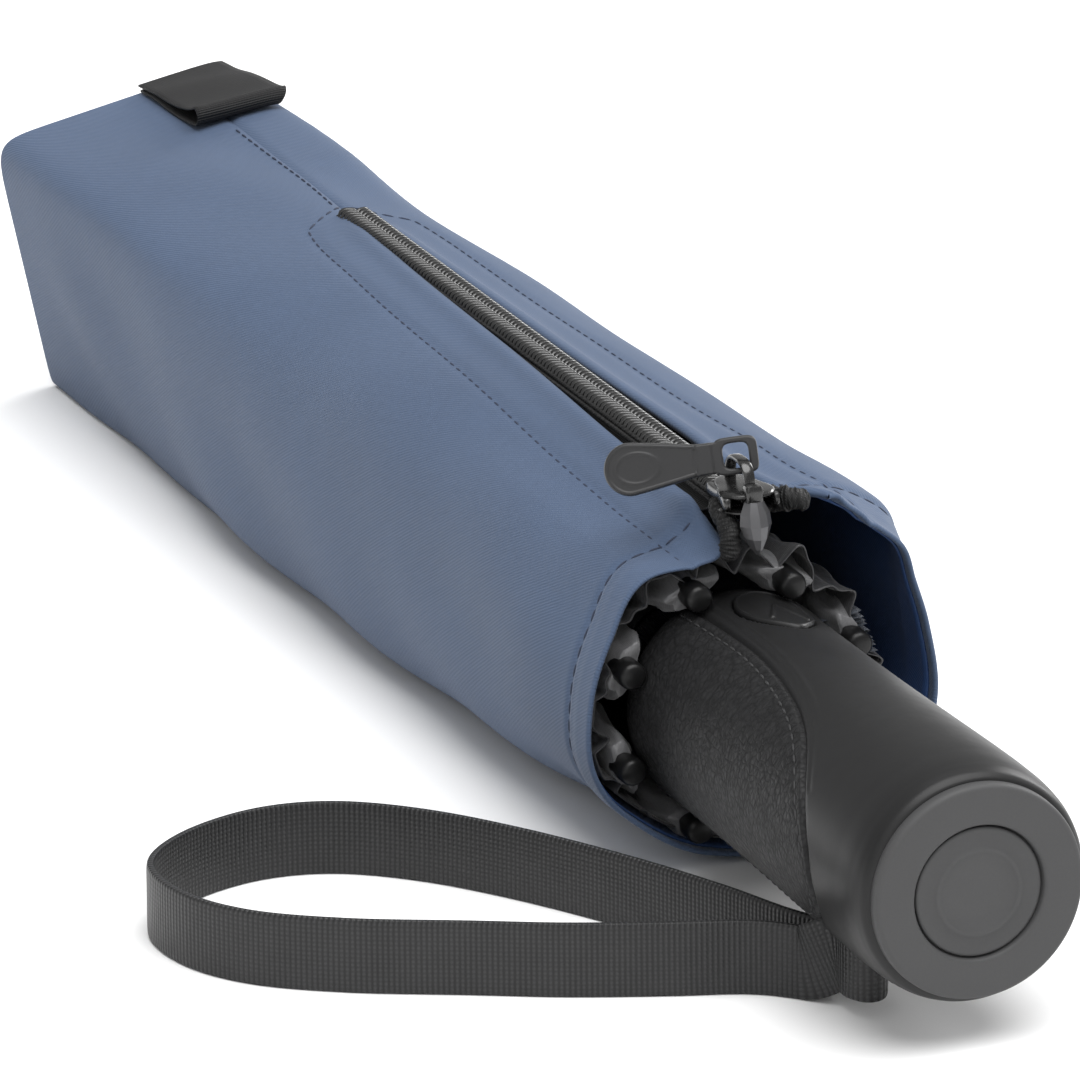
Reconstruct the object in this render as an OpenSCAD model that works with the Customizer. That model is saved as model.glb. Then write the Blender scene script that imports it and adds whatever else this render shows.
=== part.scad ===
// Folding umbrella stowed in its zipped sleeve.
// Units are millimetres, Z is up, the shaft runs along X and the handle end is at +X.
// The rest pose is the stowed umbrella lying on its sleeve, with the wrist strap on the floor.

/* [Overall] */
// Half of the overall length, crown end to cap face
half_len = 185; // [150:1:220]
// Height of the shaft axis above the floor
axis_z = 26; // [24:0.5:36]
// Sideways place of the shaft axis; the sleeve's mouth is centred on Y = 0
axis_y = -3.5; // [-8:0.5:0]

/* [Handle] */
// X of the handle's inner end
handle_x0 = 85; // [70:1:110]
// Handle radius just outside the sleeve's mouth
handle_r_in = 18.2; // [14:0.1:22]
// Handle radius at its widest, near the end cap
handle_r_out = 19.3; // [15:0.1:24]
// Radius of the flat end cap
cap_r = 17.25; // [12:0.05:20]
// Radius of the round pocket in the end cap
pocket_r = 10.7; // [6:0.1:14]
// Thickness of the leather-grained inlay
inlay_t = 1.4; // [0.8:0.1:3]

/* [Push button] */
// X of the button's centre
button_x = 99; // [92:0.5:120]
// Angle of the button from straight up, towards the far side
button_a = -9; // [-40:1:40]
// Travel of the button
button_travel = 2; // [1:0.1:3]

/* [Sleeve] */
// X of the sleeve's mouth
mouth_x = 93; // [80:1:110]
// Radius of the sleeve at its mouth
mouth_r = 29.5; // [26:0.5:34]
// How far the mouth's centre lies above the shaft
mouth_rise = 3; // [0:0.5:6]
// Half width of the squared far end
far_a = 21; // [16:0.5:28]
// Half height of the squared far end
far_b = 24.5; // [16:0.5:30]
// Roll of the squared far end about the shaft
far_roll = 12; // [-45:1:45]
// Fabric thickness of the sleeve, lining and hem together
sleeve_t = 1; // [0.6:0.1:2]

/* [Zip] */
// Angle of the zip's start from straight up, positive towards the near side
zip_a0 = -7; // [-30:1:30]
// Angle of the zip at the mouth
zip_a1 = 6; // [-30:1:30]
// X where the zip starts
zip_x0 = -94; // [-150:1:0]
// X where the tapes end, past the mouth
zip_x1 = 96; // [60:1:110]
// Half width of the tapes, as an angle
tape_half = 13; // [8:1:30]
// X of the slider's centre when the zip is closed
slider_x = 90; // [60:1:92]
// Half width of the pull's eye
eye_w = 3; // [2.5:0.1:4]
// Length of the pull tab, past its eye
tab_len = 17; // [12:1:35]
// Width of the pull tab
tab_w = 8.5; // [5:0.5:14]

/* [Wrist strap] */
// Width of the webbing
strap_w = 12; // [8:0.5:20]
// Thickness of the webbing
strap_t = 1.3; // [0.8:0.1:3]
// X of the strap's anchor pin
pin_x = 163; // [150:1:172]
// Y of the strap's anchor pin
pin_y = -13; // [-18:0.5:-8]

/* [Frame] */
// Number of arms
arms = 8; // [6:1:10]
// X of the crown pivots
crown_x = -165; // [-175:1:-150]
// Radius of the crown and runner pivot circles
pivot_r = 10; // [8:0.5:13]
// Length of the inner rib
inner_len = 195; // [150:1:210]
// Length of the middle rib
middle_len = 190; // [150:1:210]
// Distance of the runner pivots from the crown pivots when stowed
runner_u = 205; // [170:1:215]
// Length of the stretcher
stretcher_len = 110; // [80:1:130]
// Distance of the rib tips from the crown pivots when stowed
tip_u = 256; // [220:1:262]
// Radius of the circle of rib tips when stowed
tip_r = 21; // [19:0.1:24]
// Outside radius of the fixed lower tube
tube_r = 7; // [5:0.5:9]

/* [Hidden] */
arm_names = ["inner_rib", "middle_rib", "outer_rib", "stretcher"];
$fn = 48;
step_a = 360 / arms;
e1 = [inner_len, pivot_r + 1.5];           // first elbow, in an arm's own plane
e2 = [inner_len - middle_len, 15.5];       // second elbow
tip = [tip_u, tip_r];
rib_h = 3;
pin_r = 1;
bore_r = 1.06;
rib_pin = [0, pivot_r];
run_pin = [runner_u, pivot_r];
strut_end = [runner_u - stretcher_len, pivot_r + 1.5 * (runner_u - stretcher_len) / inner_len];
sleeve_x0 = -half_len;
sleeve_l = mouth_x - sleeve_x0;

// ---------------------------------------------------------------- sleeve surface
// Radius of the squared far end in the direction a, measured from up towards the near side.
function far_r(a) =
    let (s = abs(sin(a - far_roll)) / far_a, c = abs(cos(a - far_roll)) / far_b)
    pow(pow(s, 7) + pow(c, 7), -1 / 7);
// Radius of the sleeve at x: straight lines run from the squared end to the round mouth.
function sleeve_r(x, a) =
    let (k = (x - sleeve_x0) / sleeve_l) far_r(a) + (mouth_r - far_r(a)) * k;
// Middle of the sleeve at x: it leaves the shaft towards the mouth, which sits higher.
function sleeve_mid(x) =
    let (k = (x - sleeve_x0) / sleeve_l) [x, axis_y * (1 - k), axis_z + mouth_rise * k];
function on_sleeve(x, a, off) =
    let (r = sleeve_r(x, a) + off) sleeve_mid(x) + [0, -r * sin(a), r * cos(a)];

// The zip's straight line, and its axes: along it, to the far side, and out.
function zip_a(x) = zip_a0 + (zip_a1 - zip_a0) * (x - zip_x0) / (mouth_x - zip_x0);
zip_p0 = on_sleeve(zip_x0, zip_a0, 0);
zip_p1 = on_sleeve(mouth_x, zip_a1, 0);
function zip_point(x) = zip_p0 + (zip_p1 - zip_p0) * (x - zip_x0) / (mouth_x - zip_x0);
zip_e = (zip_p1 - zip_p0) / norm(zip_p1 - zip_p0);
zip_s = cross([0, 0, 1], zip_e) / norm(cross([0, 0, 1], zip_e));
zip_n = cross(zip_e, zip_s);
module zip_frame(x) {
    translate(zip_point(x)) multmatrix([for (k = [0 : 2]) [zip_e[k], zip_s[k], zip_n[k], 0]])
        children();
}

// Closed patch beside the zip between two X values, two angles from it and two offsets.
module patch(x0, x1, a0, a1, off0, off1, nx = 12, na = 8) {
    w = na + 1;
    n = (nx + 1) * w;
    pts = [for (o = [off0, off1], i = [0 : nx], j = [0 : na]) let (x = x0 + (x1 - x0) * i / nx)
        on_sleeve(x, zip_a(x) + a0 + (a1 - a0) * j / na, o)];
    quads = concat(
        [for (i = [0 : nx - 1], j = [0 : na - 1]) let (p = i * w + j) [p, p + w, p + w + 1, p + 1]],
        [for (i = [0 : nx - 1], j = [0 : na - 1]) let (p = n + i * w + j) [p, p + 1, p + w + 1, p + w]],
        [for (i = [0 : nx - 1]) let (p = i * w) [p, p + n, p + n + w, p + w]],
        [for (i = [0 : nx - 1]) let (p = i * w + na) [p, p + w, p + n + w, p + n]],
        [for (j = [0 : na - 1]) [j, j + 1, j + 1 + n, j + n]],
        [for (j = [0 : na - 1]) let (p = nx * w + j) [p, p + n, p + n + 1, p + 1]]);
    polyhedron(pts, [for (q = quads, t = [[q[0], q[2], q[1]], [q[0], q[3], q[2]]]) t], 4);
}

// ---------------------------------------------------------------- helpers
// Revolves a profile of [x, radius] points about the shaft axis.
module about_shaft(profile) {
    translate([0, axis_y, axis_z]) rotate([0, 90, 0]) rotate([0, 0, 90])
        rotate_extrude($fn = 72) polygon([for (p = profile) [p[1], p[0]]]);
}

module shaft_cylinder(x0, x1, r) {
    translate([x0, axis_y, axis_z]) rotate([0, 90, 0]) cylinder(h = x1 - x0, r = r);
}

module shaft_tube(x0, x1, r, wall) {
    difference() {
        shaft_cylinder(x0, x1, r);
        shaft_cylinder(x0 - 1, x1 + 1, r - wall);
    }
}

// An arm's own plane: X runs from the crown to the handle, Y outward, Z across the rib.
module arm_frame(i) {
    translate([crown_x, axis_y, axis_z]) rotate([step_a * (i - 0.5), 0, 0]) children();
}

// Flat link between two eyes, from layer z0 to z1.
module link(p, q, h, z0, z1, eye = 2.3) {
    d = q - p;
    translate([p[0], p[1], z0]) rotate([0, 0, atan2(d[1], d[0])])
        translate([0, -h / 2, 0]) cube([norm(d), h, z1 - z0]);
    for (c = [p, q]) translate([c[0], c[1], z0]) rotate([0, 0, 100])
        cylinder(h = z1 - z0, r = eye, $fn = 32);
}

module eye_pin(p, r, z0, z1) {
    translate([p[0], p[1], z0]) cylinder(h = z1 - z0, r = r, $fn = 24);
}

// ---------------------------------------------------------------- handle
handle_profile = [
    [handle_x0, handle_r_in - 1.6], [handle_x0 + 0.6, handle_r_in - 0.7],
    [handle_x0 + 2, handle_r_in], [130, handle_r_in + 0.3], [160, handle_r_out - 0.4],
    [174, handle_r_out], [179.5, handle_r_out - 0.25], [182, handle_r_out - 0.9],
    [183, handle_r_out - 1.7]];
// Outline of the inlay seen from the near side: x and height above the shaft axis.
inlay_line = [
    [84, 16.4], [100, 16.9], [112, 17], [122, 16.9], [131, 16.4], [139, 15.4], [146, 13.6],
    [152, 11], [157, 7.6], [160.5, 3.4], [162.5, -1], [163, -5.2], [161.5, -9], [158, -11.8],
    [152, -13.2], [140, -13.7], [120, -13.8], [84, -13.6]];
module inlay_cut(grow) {
    translate([0, axis_y - 30, axis_z]) rotate([90, 0, 0]) mirror([0, 0, 1])
        linear_extrude(28) offset(delta = grow) polygon(inlay_line);
}
// Outline of the push button: a leaf with one pointed end, in its own plane.
button_line = [
    [-9.5, 0.4], [-8.8, 3], [-6.6, 5.2], [-3.4, 6.3], [0.4, 6.4], [4.2, 5.4], [7.4, 3.2],
    [9.6, 0.2], [7.4, -3], [4.2, -5.2], [0.4, -6.3], [-3.4, -6.2], [-6.6, -5], [-8.8, -2.4]];
module button_frame() {
    translate([button_x, axis_y, axis_z]) rotate([button_a, 0, 0]) children();
}

module handle_shell() color("dimgray") difference() {
    about_shaft(concat([[handle_x0, 0]], handle_profile, [[183, 0]]));
    shaft_cylinder(handle_x0 - 1, 140, tube_r);
    shaft_cylinder(174, 184, 8);
    difference() {
        inlay_cut(0.15);
        about_shaft(concat([[80, 0]], [for (p = handle_profile) [p[0], p[1] - inlay_t]],
                           [[190, 0]]));
        shaft_cylinder(78, handle_x0 + 1, 30);
    }
    button_frame() translate([0, 0, 12.7]) linear_extrude(9.5) offset(delta = 0.2)
        polygon(button_line);
    button_frame() translate([0, 0, 9]) cylinder(h = 8, r = 2.6);
    strap_slot();
    translate([pin_x, pin_y, axis_z - 10]) cylinder(h = 8, r = 1.5);
}

// Slot under the handle that the strap's two ends go up into.
module strap_slot() {
    translate([pin_x - 19, pin_y - 5, axis_z - 22]) cube([33, 11, 13.5]);
    translate([pin_x - 9, pin_y - 12, axis_z - 22]) cube([19, 10, 12]);
}

module grip_panel() color([0.15, 0.15, 0.16]) intersection() {
    difference() {
        about_shaft(concat([[handle_x0 + 1.2, 0]],
            [for (p = handle_profile) if (p[0] > handle_x0 + 1.2) [p[0], p[1] + 0.15]],
            [[183, 0]]));
        about_shaft(concat([[80, 0]], [for (p = handle_profile) [p[0], p[1] - inlay_t]],
                           [[190, 0]]));
    }
    difference() {
        inlay_cut(0);
        strap_slot();
        button_frame() translate([0, 0, 10]) linear_extrude(12) offset(delta = 0.2)
            polygon(button_line);
    }
}

module end_cap() color("gray") difference() {
    union() {
        about_shaft([[183, 0], [183, cap_r], [184.5, cap_r], [half_len, cap_r - 0.5],
                     [half_len, 0]]);
        shaft_cylinder(175, 183.5, 7.95);
    }
    shaft_cylinder(183.4, 186, pocket_r);
    shaft_cylinder(174, 182, 6);
}

module cap_badge() color("darkgray") {
    shaft_cylinder(183.4, 184, pocket_r - 0.25);
    shaft_tube(183.9, 184.3, 7.2, 0.9);
}

module push_button() color([0.2, 0.2, 0.21]) {
    intersection() {
        button_frame() translate([0, 0, 15.6]) linear_extrude(5) polygon(button_line);
        about_shaft([[80, 16.4], [80, handle_r_in + 0.3], [120, handle_r_in + 0.5], [120, 16.4]]);
    }
    button_frame() translate([0, 0, 11.4]) cylinder(h = 5.4, r = 2.5);
}

module strap_pin() color("silver")
    translate([pin_x, pin_y, axis_z - 20]) cylinder(h = 17.5, r = 1.45);

// ---------------------------------------------------------------- wrist strap
// Route of the webbing's middle line on the floor, from the anchor round the loop and back.
strap_route = [
    [pin_x - 0.4, pin_y - 2.7], [pin_x - 5, pin_y - 3.1], [152, -20.5], [147.5, -26.5],
    [143.5, -38],
    [138, -52], [131, -66], [122.5, -83], [113, -95.5], [101, -102], [87, -102], [76.5, -93],
    [70.5, -79], [72, -66], [81, -54], [96, -42.5], [115, -31.5], [132, -23.5], [145, -18.5],
    [pin_x - 9, pin_y - 0.5], [pin_x - 4, pin_y + 2.4], [pin_x + 0.2, pin_y + 2.9],
    [pin_x + 2.6, pin_y + 1.3], [pin_x + 2.6, pin_y - 1]];
route_n = len(strap_route);
function wrap(i) = (i + route_n) % route_n;
function curve(a, b, c, d, t) =
    0.5 * (2 * b + (c - a) * t + (2 * a - 5 * b + 4 * c - d) * t * t
           + (3 * b - a - 3 * c + d) * t * t * t);
strap_line = [for (i = [0 : route_n - 1], t = [0, 0.25, 0.5, 0.75])
    curve(strap_route[wrap(i - 1)], strap_route[i], strap_route[wrap(i + 1)],
          strap_route[wrap(i + 2)], t)];
// The webbing stands on the floor and climbs to the anchor over the last stretch.
function climb(p) =
    let (k = max(0, min(1, (12 - norm(p - [pin_x, pin_y])) / 8))) 3 * k * k * (3 - 2 * k);

module wrist_strap() color([0.12, 0.12, 0.13]) {
    n = len(strap_line);
    pts = [for (i = [0 : n - 1])
        let (p = strap_line[i], d = strap_line[(i + 1) % n] - strap_line[(i + n - 1) % n],
             s = [-d[1], d[0]] / norm(d) * strap_t / 2, z = 0.1 + climb(p))
        each [[p[0] + s[0], p[1] + s[1], z], [p[0] - s[0], p[1] - s[1], z],
              [p[0] - s[0], p[1] - s[1], z + strap_w], [p[0] + s[0], p[1] + s[1], z + strap_w]]];
    quads = [for (i = [0 : n - 1], k = [0 : 3])
        let (a = 4 * i, b = 4 * ((i + 1) % n), l = (k + 1) % 4) [a + k, b + k, b + l, a + l]];
    polyhedron(pts, [for (q = quads, t = [[q[0], q[2], q[1]], [q[0], q[3], q[2]]]) t], 4);
}

// ---------------------------------------------------------------- shaft
module lower_tube() color("lightgray") shaft_tube(-110, 139, tube_r - 0.02, 0.9);
module middle_tube() color("lightgray") shaft_tube(-115, 95, tube_r - 1, 0.8);
module upper_tube() color("lightgray") shaft_tube(-176, 85, tube_r - 1.9, 0.8);

module crown() color([0.2, 0.2, 0.2]) {
    difference() {
        shaft_cylinder(crown_x - 7, crown_x + 7, pivot_r - 2.8);
        shaft_cylinder(crown_x - 8, crown_x + 8, tube_r - 1.85);
    }
    for (i = [1 : arms]) arm_frame(i) {
        translate([-2.4, tube_r - 1.6, -3.4]) cube([4.8, pivot_r - 3.2, 2]);
        eye_pin(rib_pin, pin_r, -1.5, 1.2);
    }
}

module top_cap() color([0.15, 0.15, 0.15])
    about_shaft([[-181.5, 0], [-181.5, 3], [-180.5, 5], [-178, 6.4], [-176.2, 6.8],
                 [-176.2, 0]]);

module runner() color([0.2, 0.2, 0.2]) {
    x = crown_x + runner_u;
    difference() {
        union() {
            about_shaft([[x + 4, 0], [x + 4, 11.4], [x + 18, 11.4], [x + 21, 9.5], [x + 21, 0]]);
            for (i = [1 : arms]) arm_frame(i)
                translate([runner_u - 2.4, tube_r + 0.8, -1.2]) cube([7, 4.6, 2]);
        }
        shaft_cylinder(x - 10, x + 30, tube_r + 0.3);
    }
    for (i = [1 : arms]) arm_frame(i) eye_pin(run_pin, pin_r, -3.5, -1.1);
}

// ---------------------------------------------------------------- arms
module inner_rib(i) color("dimgray") arm_frame(i) {
    difference() {
        union() {
            link(rib_pin, e1, rib_h, -1, 1);
            eye_pin(e1, pin_r, 0, 3.4);
        }
        eye_pin(rib_pin, bore_r, -2, 2);
    }
}

module middle_rib(i) color("gray") arm_frame(i) {
    difference() {
        union() {
            link(e1, e2, rib_h, 1.4, 3.4);
            eye_pin(e2, pin_r, -1.1, 2.4);
        }
        eye_pin(e1, bore_r, 1, 4);
    }
}

module outer_rib(i) color("silver") arm_frame(i) {
    difference() {
        link(e2, tip, 2.2, -1, 1, 2);
        eye_pin(e2, bore_r, -2, 2);
    }
    translate([tip[0], tip[1], 0]) sphere(r = 2, $fn = 24);
}

module stretcher(i) color("dimgray") arm_frame(i) difference() {
    link(run_pin, strut_end, rib_h, -3.4, -1.4, 2.2);
    eye_pin(run_pin, bore_r, -4, -1);
}

// ---------------------------------------------------------------- canopy
// Folded canopy lying round the ribs inside the sleeve.
module canopy_folds() color([0.1, 0.1, 0.12])
    about_shaft([[-172, 18.3], [-172, 19.2], [81, 23.3], [81, 22.4]]);

// One half of a canopy ring, folded along the first arm; the left half is at +Z in its frame.
module canopy_half(side, r0, h, l) color([0.13, 0.13, 0.15]) arm_frame(1)
    translate([8, r0, side > 0 ? 3.8 : -5.3]) cube([l - 8, h, 1.5]);
module canopy_inner_left() canopy_half(1, 13.4, 1.1, inner_len);
module canopy_inner_right() canopy_half(-1, 13.4, 1.1, inner_len);
module canopy_middle_left() canopy_half(1, 14.8, 1.1, middle_len);
module canopy_middle_right() canopy_half(-1, 14.8, 1.1, middle_len);
module canopy_outer_left() canopy_half(1, 16.2, 1.1, tip_u - 12);
module canopy_outer_right() canopy_half(-1, 16.2, 1.1, tip_u - 12);

// ---------------------------------------------------------------- sleeve
module sleeve_shell() color([0.33, 0.41, 0.52]) {
    m = 64;
    // Each ring is [x, offset]: outside from the closed end to the mouth, then back inside.
    rings = concat(
        [[sleeve_x0, -3], [sleeve_x0 + 0.5, -1], [sleeve_x0 + 2, -0.25], [sleeve_x0 + 4, 0]],
        [for (k = [1 : 9]) [sleeve_x0 + 4 + (sleeve_l - 4) * k / 9, 0]],
        [for (k = [9 : -1 : 0]) [sleeve_x0 + 1 + (sleeve_l - 1) * k / 9, -sleeve_t]]);
    n = len(rings);
    pts = concat([for (r = rings, j = [0 : m - 1]) on_sleeve(r[0], j * 360 / m, r[1])],
                 [sleeve_mid(sleeve_x0), sleeve_mid(sleeve_x0 + 1)]);
    skin = [for (i = [0 : n - 2], j = [0 : m - 1])
        let (a = i * m + j, b = i * m + (j + 1) % m)
        each [[a, b, b + m], [a, b + m, a + m]]];
    first = [for (j = [0 : m - 1]) [n * m, (j + 1) % m, j]];
    last = [for (j = [0 : m - 1]) [n * m + 1, (n - 1) * m + j, (n - 1) * m + (j + 1) % m]];
    polyhedron(pts, concat(skin, first, last), 6);
}

module sleeve_label() color([0.1, 0.1, 0.1]) translate(on_sleeve(sleeve_x0 + 2, -10, 1))
    rotate([far_roll, 0, 0]) rotate([0, -1.5, 0]) translate([0, -6.5, 0]) {
        cube([27, 13, 1.2]);
        translate([25.5, 0, 1.1]) rotate([-90, 0, 0]) cylinder(h = 13, r = 1.4);
    }

module zip_tape() color([0.08, 0.08, 0.09])
    patch(zip_x0, zip_x1, -tape_half, tape_half, 0.3, 0.8);
module zip_chain() color([0.05, 0.05, 0.05]) zip_frame(zip_x0 + 2) translate([0, -2.3, 1.6])
    cube([zip_x1 - zip_x0 - 6, 4.6, 1.2]);

bail_z = 8.3;
tab_yaw = 110.3;
tab_dip = 7;
tab_lean = 17.2;
module zip_slider() color([0.12, 0.12, 0.12]) zip_frame(slider_x) {
    translate([0, 0, 3.2]) linear_extrude(0.9)
        polygon([[-6, -3.4], [-2, -3.4], [3, -5], [6.2, -5], [6.2, 5], [3, 5], [-2, 3.4],
                 [-6, 3.4]]);
    for (s = [-1, 1]) translate([-6, s * 3.7 - 0.6, 2.1]) cube([12.2, 1.2, 1.3]);
    for (x = [-4.5, 3.1]) translate([x, -0.9, 4]) cube([1, 1.8, bail_z - 3.9]);
    translate([-4.5, -0.9, bail_z - 0.4]) cube([8.6, 1.8, 0.8]);
}

// Frame of the pull at rest, centred in the bail: X down the tab, Y through it, Z across it.
module pull_frame() {
    zip_frame(slider_x) translate([-0.2, 0, bail_z]) rotate([0, 0, -tab_yaw])
        rotate([0, tab_dip, 0]) rotate([tab_lean, 0, 0]) children();
}
module zip_ring() color([0.15, 0.15, 0.15]) pull_frame() translate([0.5, 0, 0.5])
    rotate([90, 0, 0]) linear_extrude(1.1, center = true) difference() {
        offset(1) square([5, 2 * eye_w - 2], center = true);
        offset(0.6) square([2.9, 2 * eye_w - 3.2], center = true);
    }

module zip_puller() color([0.1, 0.1, 0.1]) pull_frame() translate([0.5, 0, 0.5])
    rotate([90, 0, 0]) difference() {
        linear_extrude(1.6, center = true) hull() {
            translate([3.5, -2.6]) square([1, 5.2]);
            translate([4 + tab_len - tab_w / 2, 0]) circle(d = tab_w);
        }
        for (s = [-1, 1]) translate([4 + tab_len - tab_w / 2, 0, s * 0.8]) linear_extrude(0.5, center = true)
            offset(1.6) square([4, 1.2], center = true);
    }

// ---------------------------------------------------------------- drawing
handle_shell();
grip_panel();
end_cap();
cap_badge();
strap_pin();
lower_tube();
push_button();
wrist_strap();
middle_tube();
upper_tube();
crown();
top_cap();
runner();
sleeve_shell();
sleeve_label();
zip_tape();
zip_chain();
zip_slider();
zip_ring();
zip_puller();
canopy_folds();
canopy_inner_left();
canopy_inner_right();
canopy_middle_left();
canopy_middle_right();
canopy_outer_left();
canopy_outer_right();
for (i = [1 : arms]) {
    inner_rib(i);
    middle_rib(i);
    outer_rib(i);
    stretcher(i);
}
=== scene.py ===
"""A folding umbrella stowed in its zipped sleeve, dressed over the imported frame.

Lengths inside the classes are in millimetres in the row frame: +X runs along the shaft to the
handle's end cap and +Z is up. Meshes are scaled to metres as they are made. Every surface is a
function of two parameters on a grid, or a section carried along a path, worked out as arrays.
"""

import logging
import math
from dataclasses import dataclass, field
from enum import Enum
from typing import Sequence

import bmesh
import bpy
import numpy as np
from mathutils import Matrix, Vector


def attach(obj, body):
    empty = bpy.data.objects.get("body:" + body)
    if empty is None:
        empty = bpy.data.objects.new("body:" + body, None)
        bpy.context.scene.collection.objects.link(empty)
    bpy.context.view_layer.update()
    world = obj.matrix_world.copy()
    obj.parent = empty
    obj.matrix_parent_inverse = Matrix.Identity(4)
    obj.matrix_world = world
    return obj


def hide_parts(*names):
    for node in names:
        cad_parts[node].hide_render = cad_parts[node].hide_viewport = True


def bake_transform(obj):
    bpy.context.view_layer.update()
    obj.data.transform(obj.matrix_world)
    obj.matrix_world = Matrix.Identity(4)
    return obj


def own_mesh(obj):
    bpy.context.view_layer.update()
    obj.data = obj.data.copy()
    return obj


LOG = logging.getLogger("umbrella")
MM = 0.001
Array = np.ndarray


# ------------------------------------------------------------------------------ numbers
def smooth(value: Array | float) -> Array:
    """Smoothstep: 3v^2 - 2v^3 of the value clipped to 0..1."""
    v = np.clip(value, 0.0, 1.0)
    return v * v * (3.0 - 2.0 * v)


def bell(distance: Array | float, width: float) -> Array:
    """A bell of height 1: e to the minus (distance / width) squared."""
    return np.exp(-np.square(np.asarray(distance) / width))


def curve_through(x: Array, xs: Sequence[float], ys: Sequence[float]) -> Array:
    """A smooth cubic through given points.

    Args:
        x: Where the curve is wanted.
        xs: Rising abscissae of the points.
        ys: Values at the points.

    Returns:
        Cubic Hermite values, with each point's slope taken from its two neighbours.
    """
    px, py = np.asarray(xs, float), np.asarray(ys, float)
    slope = np.gradient(py, px)
    at = np.clip(x, px[0], px[-1])
    i = np.clip(np.searchsorted(px, at, side="right") - 1, 0, len(px) - 2)
    h = px[i + 1] - px[i]
    t = (at - px[i]) / h
    t2, t3 = t * t, t * t * t
    return (
        (2 * t3 - 3 * t2 + 1) * py[i]
        + (t3 - 2 * t2 + t) * h * slope[i]
        + (3 * t2 - 2 * t3) * py[i + 1]
        + (t3 - t2) * h * slope[i + 1]
    )


def round_curve(angle: Array, angles: Sequence[float], values: Sequence[float]) -> Array:
    """curve_through made periodic over 360 degrees, for a section's radius by angle."""
    a = np.asarray(angles, float)
    v = np.asarray(values, float)
    xs = np.concatenate([a[-3:] - 360, a, a[:3] + 360])
    ys = np.concatenate([v[-3:], v, v[:3]])
    turned = (np.asarray(angle) - a[0]) % 360 + a[0]
    return curve_through(turned, xs, ys)


def loop_through(points: Sequence[Sequence[float]], steps: int) -> Array:
    """Closed Catmull-Rom loop through points, with the given steps between two of them."""
    p = np.asarray(points, float)
    t = (np.arange(steps) / steps)[None, :, None]
    a, b, c, d = (np.roll(p, k, axis=0)[:, None, :] for k in (1, 0, -1, -2))
    out = 0.5 * (
        2 * b + (c - a) * t + (2 * a - 5 * b + 4 * c - d) * t**2
        + (3 * b - a - 3 * c + d) * t**3
    )
    return out.reshape(-1, p.shape[1])


def signed_distance(points: Array, outline: Array) -> Array:
    """Distance to a closed outline in a plane, positive inside.

    Args:
        points: Points in the plane, (..., 2).
        outline: The outline's points in order, without the first repeated.

    Returns:
        The shortest distance to any edge, with the sign from the crossing count of a ray.
    """
    shape, points = points.shape[:-1], points.reshape(-1, 2)
    best = np.full(len(points), np.inf)
    inside = np.zeros(len(points), bool)
    for start, end in zip(outline, np.roll(outline, -1, axis=0)):
        step = end - start
        rel = points - start
        t = np.clip(rel @ step / max(step @ step, 1e-12), 0, 1)
        best = np.minimum(best, np.linalg.norm(rel - t[:, None] * step, axis=1))
        if start[1] != end[1]:
            crosses = (start[1] > points[:, 1]) != (end[1] > points[:, 1])
            at = start[0] + (points[:, 1] - start[1]) * step[0] / step[1]
            inside ^= crosses & (points[:, 0] < at)
    return np.where(inside, best, -best).reshape(shape)


def circle(count: int) -> Array:
    """Evenly spaced angles round a circle in radians, without the first repeated."""
    return np.linspace(0, 2 * np.pi, count + 1)[:-1]


def squared(angle: Array, half: Sequence[float], powers: Sequence[float]) -> Array:
    """Points of an ellipse squared off towards a rectangle.

    Args:
        angle: Angles in radians.
        half: Half width and half height.
        powers: Exponents of cosine and sine; 1 is an ellipse and less is squarer.

    Returns:
        (side, up) pairs, one for each angle.
    """
    waves = (np.cos(angle), np.sin(angle))
    return np.stack([h * np.sign(v) * np.abs(v) ** p
                     for h, v, p in zip(half, waves, powers)], -1)


def grid_quads(rows: int, cols: int) -> Array:
    """Corner indices of the quads of a grid."""
    i, j = np.meshgrid(np.arange(rows - 1), np.arange(cols - 1), indexing="ij")
    p = (i * cols + j).ravel()
    return np.stack([p, p + cols, p + cols + 1, p + 1], -1)


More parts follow.
